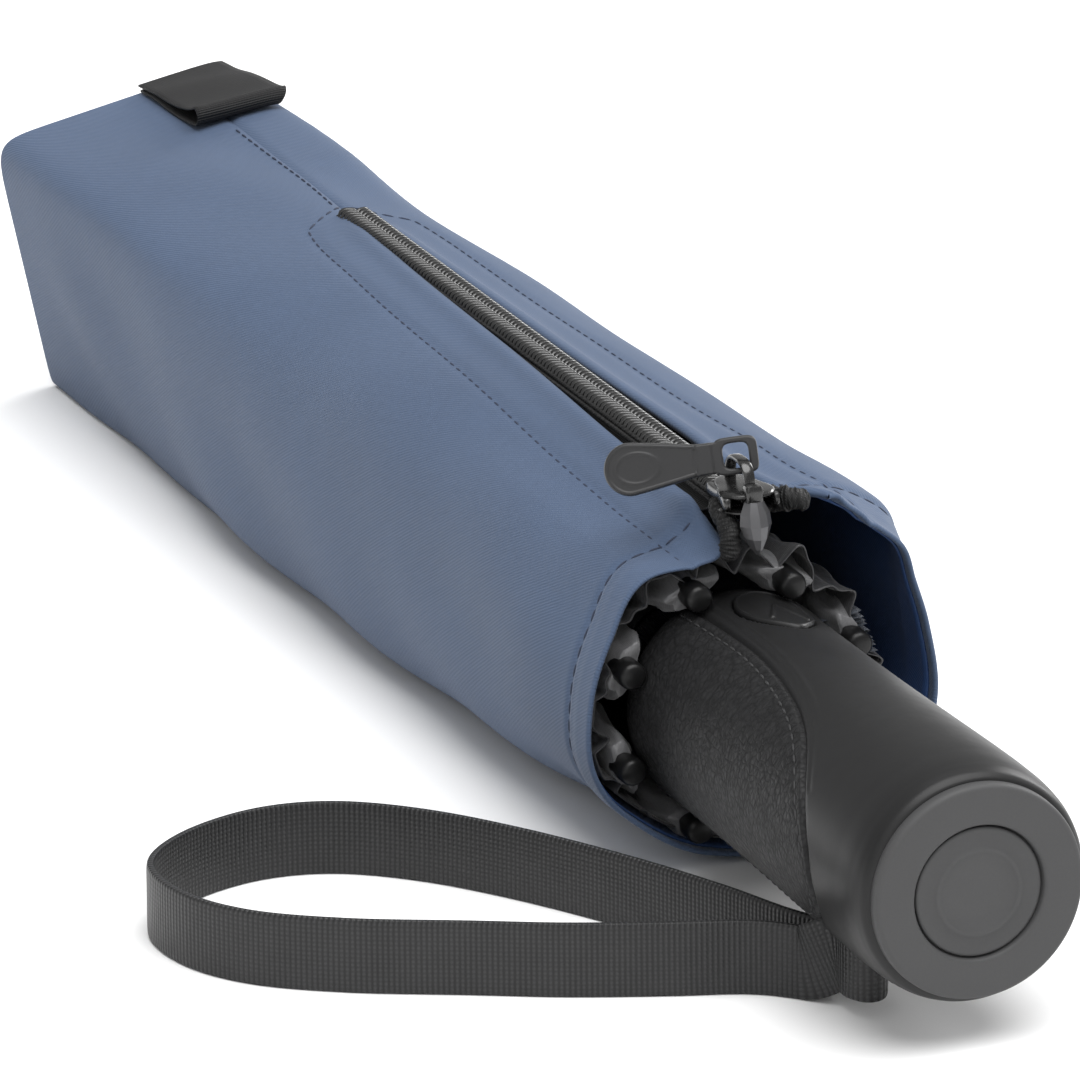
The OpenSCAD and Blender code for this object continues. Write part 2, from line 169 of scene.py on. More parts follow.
# ------------------------------------------------------------------------------ meshes
class Parts:
    """Gathers grids and stamped shapes, and makes them one mesh piece."""

    def __init__(self) -> None:
        """Starts empty."""
        self.points: list[Array] = []
        self.faces: list[Array] = []
        self.maps: list[Array] = []
        self.count = 0

    def grid(self, points: Array, uv: Array | None = None) -> "Parts":
        """Adds a grid of points as quads.

        Args:
            points: Points as (rows, columns, 3), in millimetres.
            uv: Map coordinates as (rows, columns, 2), in centimetres.

        Returns:
            This object, for chaining.
        """
        quads = grid_quads(*points.shape[:2])
        flat = (points[..., :2] / 10 if uv is None else uv).reshape(-1, 2)
        return self.raw(points.reshape(-1, 3), quads, flat[quads])

    def slab(self, outer: Array, inner: Array, uv: Array, axis: int = 0,
             ends: bool = True) -> "Parts":
        """Adds a sheet with thickness: over one face and back over the other.

        Args:
            outer: Grid of one face.
            inner: Grid of the other face.
            uv: Map coordinates of both.
            axis: The grids' axis that the section runs along.
            ends: True to close the section's two ends as well.

        Returns:
            This object, for chaining.
        """
        def wrapped(out: Array, back: Array) -> Array:
            """One face, the other one reversed, and the first row again."""
            return np.concatenate([out, np.flip(back, axis), np.take(out, [0], axis)], axis)

        self.grid(wrapped(outer, inner), wrapped(uv, uv))
        for end in (0, -1) if ends else ():
            top, low, flat = (np.take(g, end, 1 - axis) for g in (outer, inner, uv))
            self.grid(np.stack([top, low], 1 - axis), np.stack([flat, flat], 1 - axis))
        return self

    def raw(self, points: Array, quads: Array, maps: Array) -> "Parts":
        """Adds points and quads, with one map coordinate for each corner."""
        self.points.append(points)
        self.faces.append(quads + self.count)
        self.maps.append(maps)
        self.count += len(points)
        return self

    def stamp(self, shape: tuple[Array, Array], origins: Array, frames: Array) -> "Parts":
        """Adds copies of a small shape.

        Args:
            shape: Its points (n, 3) and quads (k, 4).
            origins: Where each copy stands, as (m, 3).
            frames: Each copy's three axes as rows, as (m, 3, 3).

        Returns:
            This object, for chaining.
        """
        points, quads = shape
        return self.copies(origins[:, None] + np.einsum("pk,mkc->mpc", points, frames), quads)

    def copies(self, placed: Array, quads: Array) -> "Parts":
        """Adds copies of a shape whose points are placed already, as (m, n, 3)."""
        starts = np.arange(len(placed)) * placed.shape[1]
        every = (quads[None] + starts[:, None, None]).reshape(-1, 4)
        flat = placed.reshape(-1, 3)
        return self.raw(flat, every, flat[every][..., :2] / 10)

    def piece(self, name: str, body: str, finish: "Finish", slot: str, *,
              stands_for: Sequence[str] = (), sharp: float | None = None,
              rides: bool = True) -> bpy.types.Object:
        """Makes the gathered quads into one object in metres.

        Args:
            name: The piece's name.
            body: The frame's body that it moves with.
            finish: Its material.
            slot: The record's material slot it belongs to; not used.
            stands_for: CAD nodes that it replaces.
            sharp: Angle in degrees above which an edge stays crisp, or None for all smooth.
            rides: False to leave the piece unattached to its body.

        Returns:
            The object, at the origin.
        """
        points = np.concatenate(self.points) * MM
        faces, maps = np.concatenate(self.faces), np.concatenate(self.maps)
        mesh = bpy.data.meshes.new(name)
        mesh.vertices.add(len(points))
        mesh.vertices.foreach_set("co", points.astype(np.float32).ravel())
        mesh.loops.add(faces.size)
        mesh.loops.foreach_set("vertex_index", faces.astype(np.int32).ravel())
        mesh.polygons.add(len(faces))
        mesh.polygons.foreach_set("loop_start", np.arange(0, faces.size, 4, dtype=np.int32))
        mesh.uv_layers.new(name="UVMap").data.foreach_set("uv", maps.astype(np.float32).ravel())
        mesh.update(calc_edges=True)
        work = bmesh.new()
        work.from_mesh(mesh)
        bmesh.ops.remove_doubles(work, verts=work.verts, dist=2e-6)
        bmesh.ops.dissolve_degenerate(work, edges=work.edges, dist=1e-6)
        bmesh.ops.recalc_face_normals(work, faces=work.faces)
        work.to_mesh(mesh)
        work.free()
        mesh.shade_smooth()
        if sharp is not None:
            mesh.set_sharp_from_angle(angle=math.radians(sharp))
        mesh.materials.append(finish.material())
        obj = bpy.data.objects.new(name, mesh)
        bpy.context.scene.collection.objects.link(obj)
        if stands_for:
            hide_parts(*stands_for)
        if rides:
            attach(obj, body)
        LOG.info("%s: %d faces, with %s", name, len(mesh.polygons), body)
        return obj


def sweep(path: Array, section: Array, up: Sequence[float], closed: bool = False) -> Array:
    """Carries a section along a path.

    Args:
        path: Points of the path, (n, 3).
        section: Points of the closed section as (side, up) pairs, (k, 2).
        up: The direction that stays up.
        closed: True if the path is a loop.

    Returns:
        Grid (n or n + 1, k + 1, 3): path + side * section side + lift * section up.
    """
    if closed:
        ahead, behind = np.roll(path, -1, axis=0), np.roll(path, 1, axis=0)
        tangent = ahead - behind
    else:
        tangent = np.gradient(path, axis=0)
    tangent = tangent / np.linalg.norm(tangent, axis=1, keepdims=True)
    side = np.cross(tangent, np.asarray(up, float))
    side /= np.linalg.norm(side, axis=1, keepdims=True)
    lift = np.cross(side, tangent)
    ring = np.concatenate([section, section[:1]])
    grid = (path[:, None] + side[:, None] * ring[None, :, :1] + lift[:, None] * ring[None, :, 1:])
    return np.concatenate([grid, grid[:1]]) if closed else grid


def capsule(length: float, width: float, height: float) -> tuple[Array, Array]:
    """A stitch: an ellipse-like bar along X, 6 points round and 5 rings long."""
    u = np.linspace(-1, 1, 5)[:, None]
    a = np.linspace(0, 2 * np.pi, 7)[None, :-1]
    swell = np.sqrt(np.clip(1 - np.abs(u) ** 3, 0.02, 1))
    pts = np.stack(np.broadcast_arrays(u * length / 2, swell * np.cos(a) * width / 2,
                                       swell * np.sin(a) * height / 2), -1).reshape(-1, 3)
    i, j = np.meshgrid(np.arange(4), np.arange(6), indexing="ij")
    quads = np.stack([i * 6 + j, (i + 1) * 6 + j, (i + 1) * 6 + (j + 1) % 6,
                      i * 6 + (j + 1) % 6], -1).reshape(-1, 4)
    ends = np.array([[0, 1, 2, 5], [2, 3, 4, 5], [24, 29, 26, 25], [26, 29, 28, 27]])
    return pts, np.concatenate([quads, ends])


def frames_along(path: Array, normals: Array) -> Array:
    """Axes at each point of a path: along it, across it and outward, as (n, 3, 3)."""
    along = np.gradient(path, axis=0)
    along /= np.linalg.norm(along, axis=1, keepdims=True)
    across = np.cross(normals, along)
    across /= np.linalg.norm(across, axis=1, keepdims=True)
    return np.stack([along, across, np.cross(along, across)], 1)


def run_along(path: Array) -> Array:
    """Distance run at each point of a path."""
    return np.concatenate([[0], np.cumsum(np.linalg.norm(np.diff(path, axis=0), axis=1))])


def stitch_row(path: Array, normals: Array, pitch: float) -> tuple[Array, Array]:
    """Evenly spaced stitches along a path.

    Args:
        path: Points of the path.
        normals: Outward direction at each point.
        pitch: Distance between stitches.

    Returns:
        Each stitch's place, and its axes from the path's nearest point.
    """
    run = run_along(path)
    at = np.arange(pitch / 2, run[-1], pitch)
    places = np.stack([np.interp(at, run, path[:, k]) for k in range(3)], -1)
    nearest = np.round(np.interp(at, run, np.arange(len(path)))).astype(int)
    return places, frames_along(path, normals)[nearest]


# ------------------------------------------------------------------------------ finishes
class Space(Enum):
    """Where a pattern is read: the piece's own place, or its map."""

    OBJECT = "Object"
    MAP = "UV"


class Tree:
    """A material's node tree, with short calls that add nodes and join them."""

    def __init__(self, name: str) -> None:
        """Makes a material with its Principled shader."""
        self.material = bpy.data.materials.new(name)
        self.material.use_nodes = True
        self.nodes = self.material.node_tree.nodes
        self.links = self.material.node_tree.links
        self.shader = self.nodes["Principled BSDF"]
        self.places = self.nodes.new("ShaderNodeTexCoord")

    def set(self, **values: float | tuple) -> None:
        """Sets plain values on the shader's own sockets; an underscore stands for a space."""
        for key, value in values.items():
            self.shader.inputs[key.replace("_", " ")].default_value = value

    def feed(self, key: str, socket: bpy.types.NodeSocket) -> None:
        """Links a socket into one of the shader's."""
        self.links.new(socket, self.shader.inputs[key])

    def node(self, kind: str, inputs: dict | None = None, **props: object) -> bpy.types.Node:
        """Adds a node, sets its properties, and sets or links its inputs."""
        made = self.nodes.new("ShaderNode" + kind)
        for key, value in props.items():
            setattr(made, key, value)
        for key, value in (inputs or {}).items():
            if isinstance(value, bpy.types.NodeSocket):
                self.links.new(value, made.inputs[key])
            else:
                made.inputs[key].default_value = value
        return made

    def math(self, operation: str, *values: float | bpy.types.NodeSocket) -> bpy.types.NodeSocket:
        """A Math node on one to three values."""
        return self.node("Math", dict(enumerate(values)), operation=operation).outputs[0]

    def noise(self, scale: float, detail: float = 4.0, space: Space = Space.OBJECT,
              rough: float = 0.55) -> bpy.types.NodeSocket:
        """Noise of the given scale, as a value."""
        return self.node("TexNoise", {"Vector": self.places.outputs[space.value], "Scale": scale,
                                      "Detail": detail, "Roughness": rough}).outputs["Fac"]

    def wave(self, period: float, angle: float, bend: float = 0.0) -> bpy.types.NodeSocket:
        """A 0..1 sine across the piece's map.

        Args:
            period: Distance between ridges, in the map's centimetres.
            angle: Direction across the ridges, in degrees from the map's first axis.
            bend: How much noise shifts the ridges, in periods.

        Returns:
            The wave's socket.
        """
        k = 2 * math.pi / period
        way = (k * math.cos(math.radians(angle)), k * math.sin(math.radians(angle)), 0)
        dot = self.node("VectorMath", {0: self.places.outputs["UV"], 1: way},
                        operation="DOT_PRODUCT").outputs["Value"]
        if bend:
            dot = self.math("ADD", dot,
                            self.math("MULTIPLY", self.noise(0.9, 3, Space.MAP), bend * 6.28))
        return self.math("MULTIPLY_ADD", self.math("SINE", dot), 0.5, 0.5)

    def tint(self, factor: bpy.types.NodeSocket, low: tuple, high: tuple) -> bpy.types.NodeSocket:
        """A colour between low and high."""
        mix = self.node("Mix", {"Factor": factor}, data_type="RGBA")
        mix.inputs[6].default_value, mix.inputs[7].default_value = (*low, 1), (*high, 1)
        return mix.outputs[2]

    def bump(self, height: bpy.types.NodeSocket, depth_mm: float, strength: float = 1.0,
             over: bpy.types.NodeSocket | None = None) -> bpy.types.NodeSocket:
        """A bump of the given depth, over another one if given."""
        inputs = {"Height": height, "Distance": depth_mm * MM, "Strength": strength}
        if over is not None:
            inputs["Normal"] = over
        return self.node("Bump", inputs).outputs[0]


def tone(colour: tuple[float, float, float], factor: float) -> tuple[float, float, float]:
    """The colour made lighter or darker."""
    return tuple(min(1.0, c * factor) for c in colour)


@dataclass(frozen=True)
class Finish:
    """A material; each subclass builds its own pattern."""

    name: str
    colour: tuple[float, float, float]
    rough: float = 0.5

    def material(self) -> bpy.types.Material:
        """The material, made once."""
        found = bpy.data.materials.get(self.name)
        if found:
            return found
        tree = Tree(self.name)
        tree.set(Roughness=self.rough)
        self.build(tree)
        return tree.material

    def build(self, tree: Tree) -> None:
        """Adds this finish's nodes: here a faint mottle and a fine tooth."""
        tree.feed("Base Color", tree.tint(tree.noise(70, 4), tone(self.colour, 0.85),
                                          tone(self.colour, 1.15)))
        tree.feed("Normal", tree.bump(tree.noise(2600, 2), 0.02, 0.5))


@dataclass(frozen=True)
class Twill(Finish):
    """Fine twill cloth: slanting ridges crossed by threads, with a soft mottle."""

    pitch_cm: float = 0.05
    slant: float = 62.0
    depth: float = 0.10
    sheen: float = 0.25
    contrast: float = 0.10

    def build(self, tree: Tree) -> None:
        """Ridges tint the colour as painted light on their crests and painted shade in the furrows,
        break up along the thread and raise the surface.
        """
        ridge = tree.wave(self.pitch_cm, self.slant, 0.12)
        thread = tree.wave(self.pitch_cm * 0.62, self.slant + 68)
        weave = tree.math("MULTIPLY_ADD", thread, 0.35, tree.math("MULTIPLY", ridge, 0.65))
        mottle = tree.noise(26, 5)
        grain = tree.noise(700, 3)
        # The weave's share of the colour is painted light and shade on the ridges; the mottle and
        # grain noises are random tone.
        mixed = tree.math("ADD", tree.math("MULTIPLY", weave, self.contrast),
                          tree.math("ADD", tree.math("MULTIPLY", mottle, 0.45),
                                    tree.math("MULTIPLY", grain, 0.45)))
        tree.feed("Base Color", tree.tint(mixed, tone(self.colour, 0.78), tone(self.colour, 1.24)))
        soft = tree.bump(tree.noise(55, 4), 0.35, 0.35)
        tree.feed("Normal", tree.bump(weave, self.depth, 0.55, soft))
        tree.feed("Roughness", tree.math("MULTIPLY_ADD", grain, 0.16, self.rough - 0.08))
        tree.set(Sheen_Weight=self.sheen, Sheen_Roughness=0.45, Specular_IOR_Level=0.3)


@dataclass(frozen=True)
class Webbing(Finish):
    """Woven webbing: crosswise ribs broken by lengthwise threads, with a silky sheen from lower
    roughness on the ribs, and painted highlights on the rib crests with painted shade in the
    grooves.
    """

    rib_cm: float = 0.085
    thread_cm: float = 0.075
    depth: float = 0.22

    def build(self, tree: Tree) -> None:
        """Ribs run across the map's first axis and threads along it."""
        rib = tree.wave(self.rib_cm, 0, 0.05)
        thread = tree.wave(self.thread_cm, 90)
        weave = tree.math("MULTIPLY", rib, tree.math("MULTIPLY_ADD", thread, 0.45, 0.55))
        wear = tree.noise(160, 4)
        # The weave drives the colour: lighter rib crests are painted highlight and darker grooves
        # painted shade; the wear noise is random tone.
        level = tree.math("MULTIPLY_ADD", weave, 0.7, tree.math("MULTIPLY", wear, 0.3))
        tree.feed("Base Color", tree.tint(level, tone(self.colour, 0.3), tone(self.colour, 2.4)))
        tree.feed("Normal", tree.bump(weave, self.depth, 0.8, tree.bump(wear, 0.1, 0.3)))
        tree.feed("Roughness", tree.math("MULTIPLY_ADD", weave, -0.15, self.rough + 0.08))
        tree.set(Specular_IOR_Level=0.35)


@dataclass(frozen=True)
class Leather(Finish):
    """Pebbled leather grain: cells of two sizes; the colour is darker in the creases as painted
    shade and lighter on the pebble tops as painted light.
    """

    cell: float = 850.0

    def build(self, tree: Tree) -> None:
        """Voronoi cells give the pebbles and their creases; noise softens both."""
        place = tree.places.outputs["Object"]
        bent = tree.node("VectorMath", {0: place, 1: tree.node(
            "VectorMath", {0: tree.node("TexNoise", {"Vector": place, "Scale": 420.0})
                           .outputs["Color"], 1: (0.0006,) * 3},
            operation="MULTIPLY").outputs[0]}, operation="ADD").outputs[0]
        cells = [tree.node("TexVoronoi", {"Vector": bent, "Scale": scale},
                           feature="DISTANCE_TO_EDGE").outputs["Distance"]
                 for scale in (self.cell, self.cell * 0.45)]
        pebble = tree.math("POWER", tree.math("MINIMUM", tree.math("MULTIPLY", cells[0], 3.2),
                                              1.0), 0.6)
        crease = tree.math("MINIMUM", tree.math("MULTIPLY", cells[1], 5.0), 1.0)
        height = tree.math("MULTIPLY_ADD", crease, 0.4, tree.math("MULTIPLY", pebble, 0.6))
        # The grain's height tints the colour: the pebble pattern is grain, its darker creases are
        # painted shade and its lighter tops painted light.
        tree.feed("Base Color", tree.tint(height, tone(self.colour, 0.5), tone(self.colour, 1.25)))
        tree.feed("Normal", tree.bump(height, 0.16, 0.8))
        tree.feed("Roughness", tree.math("MULTIPLY_ADD", height, -0.14, self.rough + 0.1))
        tree.set(Specular_IOR_Level=0.14)


@dataclass(frozen=True)
class SoftTouch(Finish):
    """Rubbery paint on moulded plastic: even, matt, with a dusty fine tooth."""

    tooth: float = 0.012

    def build(self, tree: Tree) -> None:
        """Two noises tint it and a third gives the tooth and the uneven gloss."""
        mottle = tree.math("MULTIPLY_ADD", tree.noise(38, 3), 0.5,
                           tree.math("MULTIPLY", tree.noise(2200, 2), 0.5))
        tree.feed("Base Color", tree.tint(mottle, tone(self.colour, 0.86), tone(self.colour, 1.14)))
        tree.feed("Roughness", tree.math("MULTIPLY_ADD", tree.noise(300, 3), 0.12,
                                         self.rough - 0.06))
        tree.feed("Normal", tree.bump(tree.noise(3200, 2), self.tooth, 0.6))
        tree.set(Specular_IOR_Level=0.26)


@dataclass(frozen=True)
class Metal(Finish):
    """Plated or painted metal with fine draw lines and small wear."""

    metallic: float = 1.0
    coat: float = 0.0

    def build(self, tree: Tree) -> None:
        """Stretched noise gives the draw lines; broad noise gives uneven gloss."""
        lines = tree.node("Mapping", {"Vector": tree.places.outputs["Object"],
                                      "Scale": (40.0, 2600.0, 2600.0)}).outputs[0]
        draw = tree.node("TexNoise", {"Vector": lines, "Scale": 1.0, "Detail": 3.0}).outputs["Fac"]
        wear = tree.noise(240, 4)
        tree.feed("Base Color", tree.tint(wear, tone(self.colour, 0.8), tone(self.colour, 1.2)))
        tree.feed("Roughness", tree.math("MULTIPLY_ADD", draw, 0.18, self.rough - 0.06))
        tree.feed("Normal", tree.bump(draw, 0.008, 0.5))
        tree.set(Metallic=self.metallic, Coat_Weight=self.coat, Coat_Roughness=0.15)


@dataclass(frozen=True)
class Crumple(Finish):
    """Thin taffeta: a fine plain weave over sharp creases."""

    def build(self, tree: Tree) -> None:
        """Warped noise gives the creases and two crossed waves give the weave; the crease noise
        also lightens and darkens the colour as painted light and shade on the creases.
        """
        crease = tree.node("TexNoise", {"Vector": tree.places.outputs["Object"], "Scale": 70.0,
                                        "Detail": 5.0, "Distortion": 1.2}).outputs["Fac"]
        weave = tree.math("MULTIPLY", tree.wave(0.045, 0), tree.wave(0.045, 90))
        # Painted light and shade: the colour follows the crease relief.
        tree.feed("Base Color", tree.tint(crease, tone(self.colour, 0.6), tone(self.colour, 1.4)))
        tree.feed("Normal", tree.bump(weave, 0.05, 0.5, tree.bump(crease, 1.2, 0.55)))
        tree.feed("Roughness", tree.math("MULTIPLY_ADD", crease, 0.2, self.rough - 0.1))
        tree.set(Sheen_Weight=0.2)


SLEEVE_CLOTH = Twill("sleeve_twill", (0.056, 0.085, 0.146), 0.72, sheen=0.1)
# Darker, bluer cloth for the sheet inside the mouth: painted shade of the sleeve's inside.
SLEEVE_INSIDE_SHADE = Twill("sleeve_inside_painted_shade", (0.02, 0.05, 0.14), 0.6, contrast=0.05, sheen=0.05)
SLEEVE_THREAD = Finish("sleeve_thread", (0.016, 0.024, 0.05), 0.7)
HANDLE_SKIN = SoftTouch("handle_skin", (0.0125, 0.0125, 0.0128), 0.4)
CAP_SKIN = SoftTouch("cap_skin", (0.058, 0.058, 0.059), 0.56)
GRIP_LEATHER = Leather("leather_grain", (0.017, 0.017, 0.0175), 0.46)
GRIP_THREAD = Finish("grip_thread", (0.02, 0.02, 0.021), 0.7)
STRAP_WEB = Webbing("webbing_weave", (0.017, 0.017, 0.0175), 0.4)
TAPE_WEAVE = Webbing("zip_tape_weave", (0.0028, 0.0028, 0.003), 0.6, rib_cm=0.06, thread_cm=0.05)
COIL_PLASTIC = Metal("zip_coil_plastic", (0.012, 0.012, 0.012), 0.28, metallic=0.0, coat=0.5)
ENAMEL = Metal("black_enamel", (0.008, 0.008, 0.008), 0.24, metallic=0.2, coat=0.6)
NOSE_METAL = Metal("slider_nose", (0.10, 0.10, 0.105), 0.3, metallic=0.6)
PULL_RUBBER = SoftTouch("pull_tab_rubber", (0.030, 0.030, 0.031), 0.36)
LABEL_WEAVE = Webbing("label_weave", (0.0065, 0.0065, 0.007), 0.62, rib_cm=0.045, thread_cm=0.04)
CANOPY_CLOTH = Crumple("black_taffeta", (0.03, 0.03, 0.032), 0.4)
POCKET_CLOTH = Crumple("pocket_cloth", (0.13, 0.13, 0.134), 0.4)
CANOPY_OUTSIDE = Twill("canopy_outside", (0.03, 0.042, 0.066), 0.6, pitch_cm=0.06, contrast=0.06)
SHAFT_METAL = Metal("shaft_plating", (0.42, 0.43, 0.45), 0.24)
RIB_METAL = Metal("rib_channel", (0.16, 0.165, 0.175), 0.36)
RIB_GLASS = SoftTouch("rib_glass_fibre", (0.012, 0.012, 0.013), 0.4)
FRAME_PLASTIC = SoftTouch("black_moulding", (0.009, 0.009, 0.0095), 0.38)
TIP_PLASTIC = SoftTouch("tip_plastic", (0.007, 0.007, 0.0072), 0.35)


# ------------------------------------------------------------------------------ datum
@dataclass(frozen=True)
class Datum:
    """The frame's own places, in millimetres."""

    axis_y: float = -3.5
    axis_z: float = 26.0
    far_x: float = -185.0
    mouth_x: float = 93.0
    end_x: float = 185.0
    crown_x: float = -165.0
    arms: int = 8

    def ring(self, x: Array, radius: Array, angle: Array) -> Array:
        """Points round the shaft; angle in degrees from up, positive to the near side."""
        a = np.radians(angle)
        x, r, a = np.broadcast_arrays(x, radius, a)
        return np.stack([x, self.axis_y - r * np.sin(a), self.axis_z + r * np.cos(a)], -1)

    def arm(self, number: int, local: Array) -> Array:
        """An arm's points, given along the shaft from the crown, out from it and across."""
        a = 2 * math.pi / self.arms * (number - 0.5)
        axes = np.array([[1, 0, 0], [0, math.cos(a), math.sin(a)], [0, -math.sin(a), math.cos(a)]])
        return np.array([self.crown_x, self.axis_y, self.axis_z]) + local @ axes


DATUM = Datum()


# ------------------------------------------------------------------------------ sleeve
@dataclass
class Sleeve:
    """The zipped cloth sleeve: twill skin, a dark inner sheet of painted shade, hem, seams,
    stitches and its label.
    """

    zip_x: float = -94.0
    zip_start: tuple[float, float, float] = (-94.0, 0.947, 53.876)
    zip_end: tuple[float, float, float] = (93.0, -3.084, 58.338)
    thickness: float = 0.9
    arc_r: float = 28.0
    end_inset: float = 1.4
    hem: float = 8.5
    stitch_off: float = 8.6
    far_half: tuple[float, float] = (23.6, 26.1)
    far_roll: float = 12.0
    mouth_rise: float = 3.0
    mouth_angles: tuple[float, ...] = (-99, -75, -60, -50, -38, -20, 13.5, 30, 45, 67, 90, 108,
                                       115, 132, 153, 164, 190, 225)
    mouth_radii: tuple[float, ...] = (29.7, 28.6, 29.4, 31.2, 31.2, 32.1, 24.1, 25.8, 30.1, 29.9,
                                      30.5, 31.6, 31.4, 29.6, 28.8, 28.3, 28.6, 29.2)
    body: str = "sleeve"

    def zip_line(self, x: Array) -> Array:
        """Points on the zip's straight line, which leaves the ridge towards the near side."""
        a, b = np.array(self.zip_start), np.array(self.zip_end)
        k = (np.asarray(x, float) - a[0]) / (b[0] - a[0])
        return a + k[..., None] * (b - a)

    def zip_polar(self, x: Array) -> tuple[Array, Array]:
        """The zip line's angle in degrees and its radius, both about the sleeve's middle."""
        x = np.asarray(x, float)
        rel = self.zip_line(x) - self.middle(x)
        return (np.degrees(np.arctan2(-rel[..., 1], rel[..., 2])),
                np.hypot(rel[..., 1], rel[..., 2]))

    def gap(self, x: Array, side: int) -> Array:
        """Width from the zip line to the slit's edge: nothing before the zip, then widening.

        Args:
            x: Place along the sleeve.
            side: 1 for the near edge, -1 for the far one, which flares at the mouth.

        Returns:
            Millimetres round the sleeve.
        """
        flare = (4.6, 4.6, 4.4, 4.2, 4.0) if side > 0 else (4.8, 5.6, 7.4, 9.6, 12.4)
        return curve_through(x, (-185, -96, -92, -84, -60, 0, 50, 78, 86, 90, 93),
                             (0, 0, 0.25, 1.5, 2.7, 3.7, *flare))

    def middle(self, x: Array) -> Array:
        """The sleeve's middle line, which leaves the shaft towards the mouth."""
        k = (x - DATUM.far_x) / (DATUM.mouth_x - DATUM.far_x)
        return np.stack([x, DATUM.axis_y * (1 - k), DATUM.axis_z + self.mouth_rise * k], -1)

    def radius(self, x: Array, angle: Array) -> Array:
        """Radius by place: a squared far end, a full middle with soft ridges, a loose mouth.

        Args:
            x: Place along the sleeve.
            angle: Degrees from up, positive to the near side.

        Returns:
            A blend of three sections along the sleeve, plus small folds.
        """
        k = (x - DATUM.far_x) / (DATUM.mouth_x - DATUM.far_x)
        turn = np.radians(angle - self.far_roll)
        a, b = self.far_half
        far = ((np.abs(np.sin(turn)) / a) ** 11 + (np.abs(np.cos(turn)) / b) ** 11) ** (-1 / 11)
        near = (angle + 180) % 360 - 180
        full = (28.6 + 4.4 * bell(near + 44, 24) + 4.2 * bell(near - 137, 26)
                + 1.3 * bell(near - 56, 22) + 1.0 * bell(near + 130, 24))
        mouth = round_curve(angle, self.mouth_angles, self.mouth_radii)
        mouth = mouth + 3.8 * bell(near + 43, 20) * smooth((DATUM.mouth_x - x) / 12)
        first, last = smooth(k / 0.5), smooth((k - 0.66) / 0.33)
        r = far * (1 - first) + full * (first - first * last) + mouth * first * last
        s = np.radians(angle)
        fold = (0.45 * np.sin(x / 15.0 + 2.2 * np.sin(2 * s)) * np.sin(3 * s + x / 47.0)
                + 0.35 * np.sin(x / 9.0 - 4 * s) * bell(near - 120, 60)
                + 0.28 * np.sin(x / 6.5 + 3 * s) * smooth((k - 0.8) / 0.2))
        r = r + fold * smooth(k / 0.15)
        line_angle, line_radius = self.zip_polar(x)
        off = (angle - line_angle + 180) % 360 - 180
        hold = bell(off, 24) * smooth((x + 128) / 34) * (1 - smooth((x - 80) / 12.5))
        return r + (line_radius + 1.4 - r) * hold

    def surface(self, x: Array, angle: Array, lift: Array | float = 0.0) -> Array:
        """Points on the sleeve, pressed flat where it lies on the floor."""
        x, angle, lift = np.broadcast_arrays(np.asarray(x, float), np.asarray(angle, float), lift)
        r = self.radius(x, angle) + lift
        s = np.radians(angle)
        mid = self.middle(x)
        out = mid + np.stack([np.zeros_like(r), -r * np.sin(s), r * np.cos(s)], -1)
        low = 0.25
        out[..., 2] = low + np.logaddexp(0, (out[..., 2] - low) / 0.6) * 0.6
        return out

    def skin_angles(self, x: Array, t: Array) -> tuple[Array, Array]:
        """Angle at the share t of the way round from one slit edge to the other, and the
        distance in millimetres to the nearer edge."""
        near, far = (np.degrees(self.gap(x, side) / self.arc_r) for side in (1, -1))
        angle = self.zip_polar(x)[0] + near + t * (360 - near - far)
        away = np.minimum(t, 1 - t) * (2 * np.pi * self.arc_r)
        return angle, away

    def lift(self, x: Array, away: Array) -> Array:
        """Rolled edges beside the zip, a sewn valley beside them, and the hem at the mouth."""
        open_here = smooth((x - self.zip_x) / 18)
        roll = 0.9 * bell(away - 1.2, 1.6) * open_here
        stitch = -0.35 * bell(away - self.stitch_off, 0.9) * open_here
        seam = -0.7 * bell(away, 0.9) * (1 - open_here)
        hem = -0.4 * bell(x - (DATUM.mouth_x - self.hem), 0.8) + 0.25 * smooth((x - 86) / 3)
        return roll + stitch + seam + hem

    def build(self) -> None:
        """Makes the skin, its closed end, the dark inner sheet of painted shade, stitches and
        label.
        """
        first = DATUM.far_x + self.end_inset
        x = np.concatenate([first + 6 * np.linspace(0, 1, 8)[:-1] ** 2,
                            np.linspace(first + 6, 80, 150),
                            np.linspace(80.6, DATUM.mouth_x, 34)])[:, None]
        t = np.linspace(0, 1, 241)[None, :]
        angle, away = self.skin_angles(x, t)
        lift = self.lift(x, away)
        outside = self.surface(x, angle, lift)
        inside = self.surface(x, angle, lift - self.thickness)
        uv = self.map(x, angle)
        # The rim rolls over from the outside to the inside in a half circle.
        turn = np.linspace(0, np.pi, 7)[1:-1][:, None]
        rim = self.surface(x[-1:], angle[-1:],
                           lift[-1:] - self.thickness * (1 - np.cos(turn)) / 2)
        rim[..., 0] += 0.6 * np.sin(turn)
        loop = np.concatenate([outside, rim, inside[::-1]])
        loop_uv = np.concatenate([uv, np.repeat(uv[-1:], 5, 0), uv[::-1]])
        parts = Parts().grid(loop, loop_uv)
        for side in (0, -1):  # the slit's edges close between outside and inside
            strip = np.stack([outside[:, side], inside[:, side]], 1)
            parts.grid(strip, np.stack([uv[:, side], uv[:, side]], 1))
        parts.grid(*self.end_panel())
        parts.piece("sleeve_skin", self.body, SLEEVE_CLOTH, "sleeve_cloth",
                    stands_for=["sleeve_shell"])
        self.inside_shade_sheet()
        self.stitches()
        self.label()

